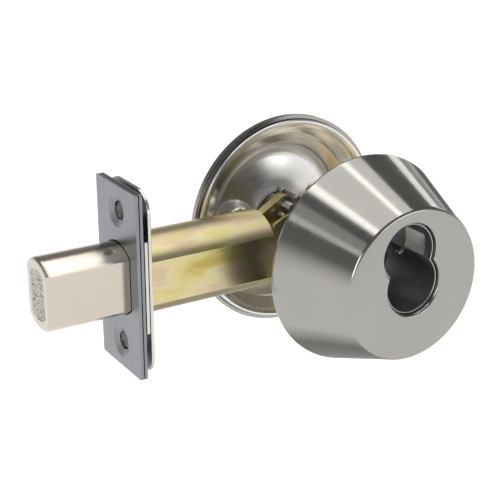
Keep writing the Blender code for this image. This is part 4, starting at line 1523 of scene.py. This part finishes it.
    def push_nut(self) -> None:
        """Stamp the toothed nut, with its teeth bent towards the door."""
        extent = Extent.of("push_nut")
        root, tip = self.nut_root, self.nut_tip
        pitch = 2 * math.pi / self.nut_teeth
        inner: Outline = []
        for i in range(self.nut_teeth):
            middle = pitch * i
            inner += arc((0, 0), root, middle - pitch * 0.5, middle - pitch * 0.27, 4)
            inner += arc((0, 0), tip, middle - pitch * 0.20, middle + pitch * 0.20, 5)
            inner += arc((0, 0), root, middle + pitch * 0.27, middle + pitch * 0.46, 3)
        rings = [circle((0, 0), self.nut_outer, 96), inner]
        nut = plate("push_nut_look", rings, rings, Axis.Y, extent.low.y, extent.low.y + self.nut_wall)
        for vert in nut.data.vertices:
            reach = math.hypot(vert.co.x, vert.co.z)
            vert.co.y -= max(root - reach, 0.0) * self.tooth_bend
        install(bevelled(nut, 0.08 * MM, 2), "push_nut", ZINC)

    def spindle(self) -> None:
        """Turn the spindle and slot it for the tailpiece."""
        extent = Extent.of("turn_spindle")
        start, end = extent.low.y, extent.high.y
        rod = rounded_rod(extent.half(Axis.Z), start, end, 0.4 * MM)
        spindle = turned("turn_spindle_look", rod, Axis.Y, 72)
        slot = OutsideTrim.blade_slot(start - MM, start + self.blade_depth)
        combined(spindle, [slot, self.pin_hole(8 * MM, 24)], "DIFFERENCE")
        install(spindle, "turn_spindle", BARE_STEEL)

    @staticmethod
    def pin_hole(reach: float, steps: int) -> bpy.types.Object:
        """Make the tool that drills the cross hole for the thumbturn's pin.

        Args:
            reach: How far it reaches to either side.
            steps: Facets round it.

        Returns:
            The tool.
        """
        pin = Extent.of("turn_pin")
        drill = rounded_rod(pin.half(Axis.X) + PIN_ROOM, -reach, reach, 0.1 * MM)
        return cutter(drill, Axis.Z, Vector((0, pin.middle.y, 0)), steps)

    def thumbturn(self) -> None:
        """Loft the grip from its round hub to a long rounded bar."""
        extent = Extent.of("thumbturn")
        base, top = extent.low.y, extent.high.y
        long, short, hub = extent.half(Axis.X), self.bar_half, self.hub_radius
        levels = ((0.0, hub - 0.4 * MM, hub - 0.4 * MM, 2.0), (0.03, hub, hub, 2.0), (0.12, hub, hub, 2.0),
                  (0.22, hub - 0.3 * MM, hub - 0.5 * MM, 2.0), (0.34, 8.7 * MM, 6.6 * MM, 2.0),
                  (0.44, 10.6 * MM, 5.2 * MM, 2.1), (0.53, 13.6 * MM, 4.65 * MM, 2.4),
                  (0.62, 15.6 * MM, short, 2.7), (0.72, long - 0.1 * MM, short, 3.0),
                  (0.88, long, short, 3.0), (0.95, long - 0.35 * MM, short - 0.3 * MM, 2.9),
                  (0.985, long - 0.9 * MM, short - 0.85 * MM, 2.8),
                  (1.0, long - 1.8 * MM, short - 1.7 * MM, 2.7))
        shape = Shape()
        rings = [shape.ring(self.oval(a, b, power), Axis.Y, base + (top - base) * level)
                 for level, a, b, power in levels]
        shape.tunnel(rings)
        shape.fill(rings[0])
        shape.fill(rings[-1])
        grip = shape.build("thumbturn_look", 60.0)
        rounding = grip.modifiers.new("Rounding", "SUBSURF")
        rounding.levels = rounding.render_levels = 1
        applied(grip)
        drill = plain_rod(self.bushing_bore, base - MM, Extent.of("turn_spindle").high.y + GAP)
        bore = cutter(drill, Axis.Y, Vector((0, 0, 0)), 64)
        combined(grip, [bore, self.pin_hole(10 * MM, 32)], "DIFFERENCE")
        install(grip, "thumbturn", GRIP_STEEL)

    @staticmethod
    def oval(half_long: float, half_short: float, power: float, count: int = 72) -> Outline:
        """Give a superellipse, which is an ellipse at power 2 and squarer above it.

        Args:
            half_long: Half its size along the first direction.
            half_short: Half its size along the second.
            power: How square it is.
            count: Number of points.

        Returns:
            The closed outline.
        """
        points: Outline = []
        for i in range(count):
            angle = 2 * math.pi * i / count
            c, s = math.cos(angle), math.sin(angle)
            points.append((half_long * math.copysign(abs(c) ** (2 / power), c),
                           half_short * math.copysign(abs(s) ** (2 / power), s)))
        return points

    def mounting_screw(self, node: str) -> None:
        """Turn a countersunk screw with rolled thread and a cross recess.

        Args:
            node: The screw's CAD node.
        """
        extent = Extent.of(node)
        start, end, head = extent.low.y, extent.high.y, extent.half(Axis.Z)
        shank, root, pitch = self.shank, self.thread_root, self.thread_pitch
        neck = end - self.head_depth
        place = neck - self.shank_length
        profile: Outline = [(0.0, end - 0.05 * MM), (head - 0.9 * MM, end), (head, end - 0.35 * MM),
                            (shank, neck), (shank, place)]
        while place - pitch > start + 0.6 * MM:
            profile += [(root, place - pitch * 0.35), (root, place - pitch * 0.5),
                        (shank, place - pitch * 0.9), (shank, place - pitch)]
            place -= pitch
        profile += [(root, start + 0.2 * MM), (root - 0.4 * MM, start), (0.0, start)]
        middle = Vector((extent.middle.x, 0, extent.middle.z))
        screw = turned(f"{node}_look", profile, Axis.Y, 48, middle)
        arms = [block((middle.x - a, end - self.cross_depth, -b), (middle.x + a, end + MM, b))
                for a, b in (self.cross_arm[::-1], self.cross_arm)]
        combined(screw, arms, "DIFFERENCE")
        install(screw, node, SCREW_STEEL)


# ---------------------------------------------------------------- studio

@dataclass(frozen=True)
class Softbox:
    """A large soft light, aimed at the lock.

    Its offset from the lock and its size are in metres, its glow is relative to the white floor.
    """

    name: str
    offset: tuple[float, float, float]
    size: tuple[float, float]
    glow: float

    def hang(self, aim: Vector) -> None:
        """Hang the light.

        Args:
            aim: The point that it looks at.
        """
        away = Vector(self.offset)
        data = bpy.data.lights.new(self.name, "AREA")
        data.shape = "RECTANGLE"
        data.size, data.size_y = self.size
        data.energy = self.glow * self.size[0] * self.size[1] * math.pi
        lamp = bpy.data.objects.new(self.name, data)
        bpy.context.scene.collection.objects.link(lamp)
        back = away.normalized()
        length = Axis.Y.direction if back.z > 0.8 else Axis.Z.direction
        side = length.cross(back).normalized()
        turn = Matrix((side, back.cross(side), back)).transposed()
        lamp.matrix_world = Matrix.Translation(aim + away) @ turn.to_4x4()


@dataclass(frozen=True)
class GreyCard:
    """A glowing card that only reflections see, its glow darkest at its middle and fading to white at its
    reach.
    """

    name: str
    centre: tuple[float, float, float]
    reach: float
    glow: float
    core: float = 0.55

    def dress(self, card: bpy.types.Object) -> None:
        """Give the card its shade and hide it from all but reflections.

        Args:
            card: The card's mesh.
        """
        weave = Weave(f"{self.name}_grey")
        place = weave.node("Mapping", {"Vector": weave.node("TexCoord").outputs["Object"],
                                       "Location": [-part / self.reach for part in self.centre],
                                       "Scale": [1 / self.reach] * 3}).outputs[0]
        away = weave.node("VectorMath", {0: place}, operation="LENGTH").outputs["Value"]
        shade = weave.spread(away, self.glow, 1.0, self.core, 1.0)
        weave.set(Base_Color=(0.05, 0.05, 0.05, 1.0), Specular_IOR_Level=0.0, Roughness=1.0,
                  Emission_Color=(1.0, 1.0, 1.0, 1.0), Emission_Strength=shade)
        card.data.materials.append(weave.material)
        card.visible_camera = card.visible_shadow = card.visible_diffuse = False


@dataclass
class Studio:
    """The pale floor, the soft lights and the camera."""

    azimuth: float = -31.73
    elevation: float = 20.98
    distance: float = 379.4 * MM
    lens: float = 87.17
    aim: tuple[float, float, float] = (-20.0 * MM, 0.0, 0.0)
    slide: tuple[float, float] = (-3.89 * MM, -1.43 * MM)
    floor_drop: float = 60.0 * MM
    floor_size: float = 8.0
    floor_glow: float = 0.9
    # The card on the floor under the lock is a painted shadow, seen only in reflections.
    shadow_card_centre: Point = (15.0 * MM, 20.0 * MM)
    shadow_card_radius: float = 72.0 * MM
    side_card: GreyCard = GreyCard("side_card", (0.50, 0.42, -0.045), 0.32, 0.12)
    side_size: tuple[float, float, float] = (0.34, 0.10, 0.02)
    side_run: Point = (0.75, -0.66)
    room: tuple[Point, ...] = ((0.0, 0.95), (0.26, 0.25), (0.62, 0.18))
    boxes: tuple[Softbox, ...] = (
        Softbox("ceiling_box", (0.07, 0.10, 1.0), (1.06, 1.30), 1.2),
        Softbox("ceiling_strip_right", (0.27, 0.15, 0.97), (0.10, 1.20), 1.5),
        Softbox("ceiling_strip_left", (-0.385, 0.15, 0.97), (0.17, 1.20), 1.4),
        Softbox("right_strip", (0.98, 0.50, 0.43), (0.90, 0.20), 1.5),
        Softbox("left_strip", (-0.95, 0.17, 0.71), (0.90, 0.13), 0.85),
        Softbox("left_bounce", (-0.95, 0.19, 0.97), (0.90, 0.28), 0.35),
        Softbox("front_strip", (0.62, -1.10, 0.15), (0.60, 0.14), 3.0),
        Softbox("left_front_box", (-0.88, -0.50, 0.34), (0.45, 0.50), 3.0))

    def build(self) -> None:
        """Set up the studio."""
        self.camera()
        self.floor()
        self.flags()
        self.world()
        for box in self.boxes:
            box.hang(Vector(self.aim))

    def camera(self) -> None:
        """Place the camera."""
        a, e = math.radians(self.azimuth), math.radians(self.elevation)
        back = Vector((math.sin(a) * math.cos(e), -math.cos(a) * math.cos(e), math.sin(e)))
        right = Vector((math.cos(a), math.sin(a), 0.0))
        up = back.cross(right)
        data = bpy.data.cameras.new("camera")
        data.lens = self.lens
        data.sensor_width = 36.0
        data.clip_start = 0.01
        eye = bpy.data.objects.new("camera", data)
        bpy.context.scene.collection.objects.link(eye)
        target = Vector(self.aim) + right * self.slide[0] + up * self.slide[1]
        turn = Matrix((right, up, back)).transposed()
        eye.matrix_world = Matrix.Translation(target + back * self.distance) @ turn.to_4x4()
        bpy.context.scene.camera = eye

    def floor(self) -> None:
        """Lay the floor, a white light table."""
        shape = Shape()
        bmesh.ops.create_grid(shape.bm, x_segments=2, y_segments=2, size=self.floor_size)
        floor = shape.move(Vector((0, 0, CAD_BOX[0][2] - self.floor_drop))).build("floor")
        weave = Weave("floor_white")
        weave.set(Base_Color=(0.35, 0.35, 0.35, 1.0), Roughness=0.9, Specular_IOR_Level=0.0,
                  Emission_Color=(1.0, 1.0, 1.0, 1.0), Emission_Strength=self.floor_glow)
        floor.data.materials.append(weave.material)

    def flags(self) -> None:
        """Set up two grey cards: one on the floor under the lock, whose dim middle is a painted shadow of the
        lock seen in reflections, and one at its side.
        """
        low = CAD_BOX[0][2] - self.floor_drop + MM
        # Painted shadow: this card glows dimmest under the lock and stands in for the lock's shadow on the
        # table wherever reflections see the floor.
        under = GreyCard("painted_shadow_card", (*self.shadow_card_centre, low), self.shadow_card_radius, 0.34)
        shape = Shape()
        shape.fill(shape.ring(circle(self.shadow_card_centre, under.reach), Axis.Z, low))
        under.dress(shape.build(under.name))

        side = self.side_card
        centre = Vector(side.centre)
        run_x, run_y = self.side_run
        shape = Shape()
        shape.fill(shape.ring(rounded_rectangle(*self.side_size), Axis.Y, 0.0))
        shape.bend(lambda co: centre + Vector((run_x * co.x, run_y * co.x, co.z)))
        side.dress(shape.build(side.name))

    def world(self) -> None:
        """Fill the room with soft light that fades from a white horizon to a darker ceiling."""
        world = bpy.data.worlds.new("room")
        world.use_nodes = True
        tree = world.node_tree
        heading = tree.nodes.new("ShaderNodeTexCoord").outputs["Generated"]
        parts = tree.nodes.new("ShaderNodeSeparateXYZ")
        tree.links.new(heading, parts.inputs[0])
        ramp = tree.nodes.new("ShaderNodeValToRGB")
        tree.links.new(parts.outputs[2], ramp.inputs[0])
        elements = ramp.color_ramp.elements
        elements.new(0.5)
        for element, (height, grey) in zip(elements, self.room):
            element.position = height
            element.color = (grey, grey, grey, 1.0)
        tree.links.new(ramp.outputs["Color"], tree.nodes["Background"].inputs["Color"])
        bpy.context.scene.world = world
        bpy.context.scene.view_settings.view_transform = "Standard"


def main() -> None:
    """Build the lock's looks and its studio."""
    logging.basicConfig(level=logging.INFO, format="%(name)s: %(message)s")
    Studio().build()
    OutsideTrim(CoreSocket()).build()
    LatchFront().build()
    BoltGroup().build()
    LatchCase().build()
    InsideTrim().build()


if __name__ == "__main__":
    main()
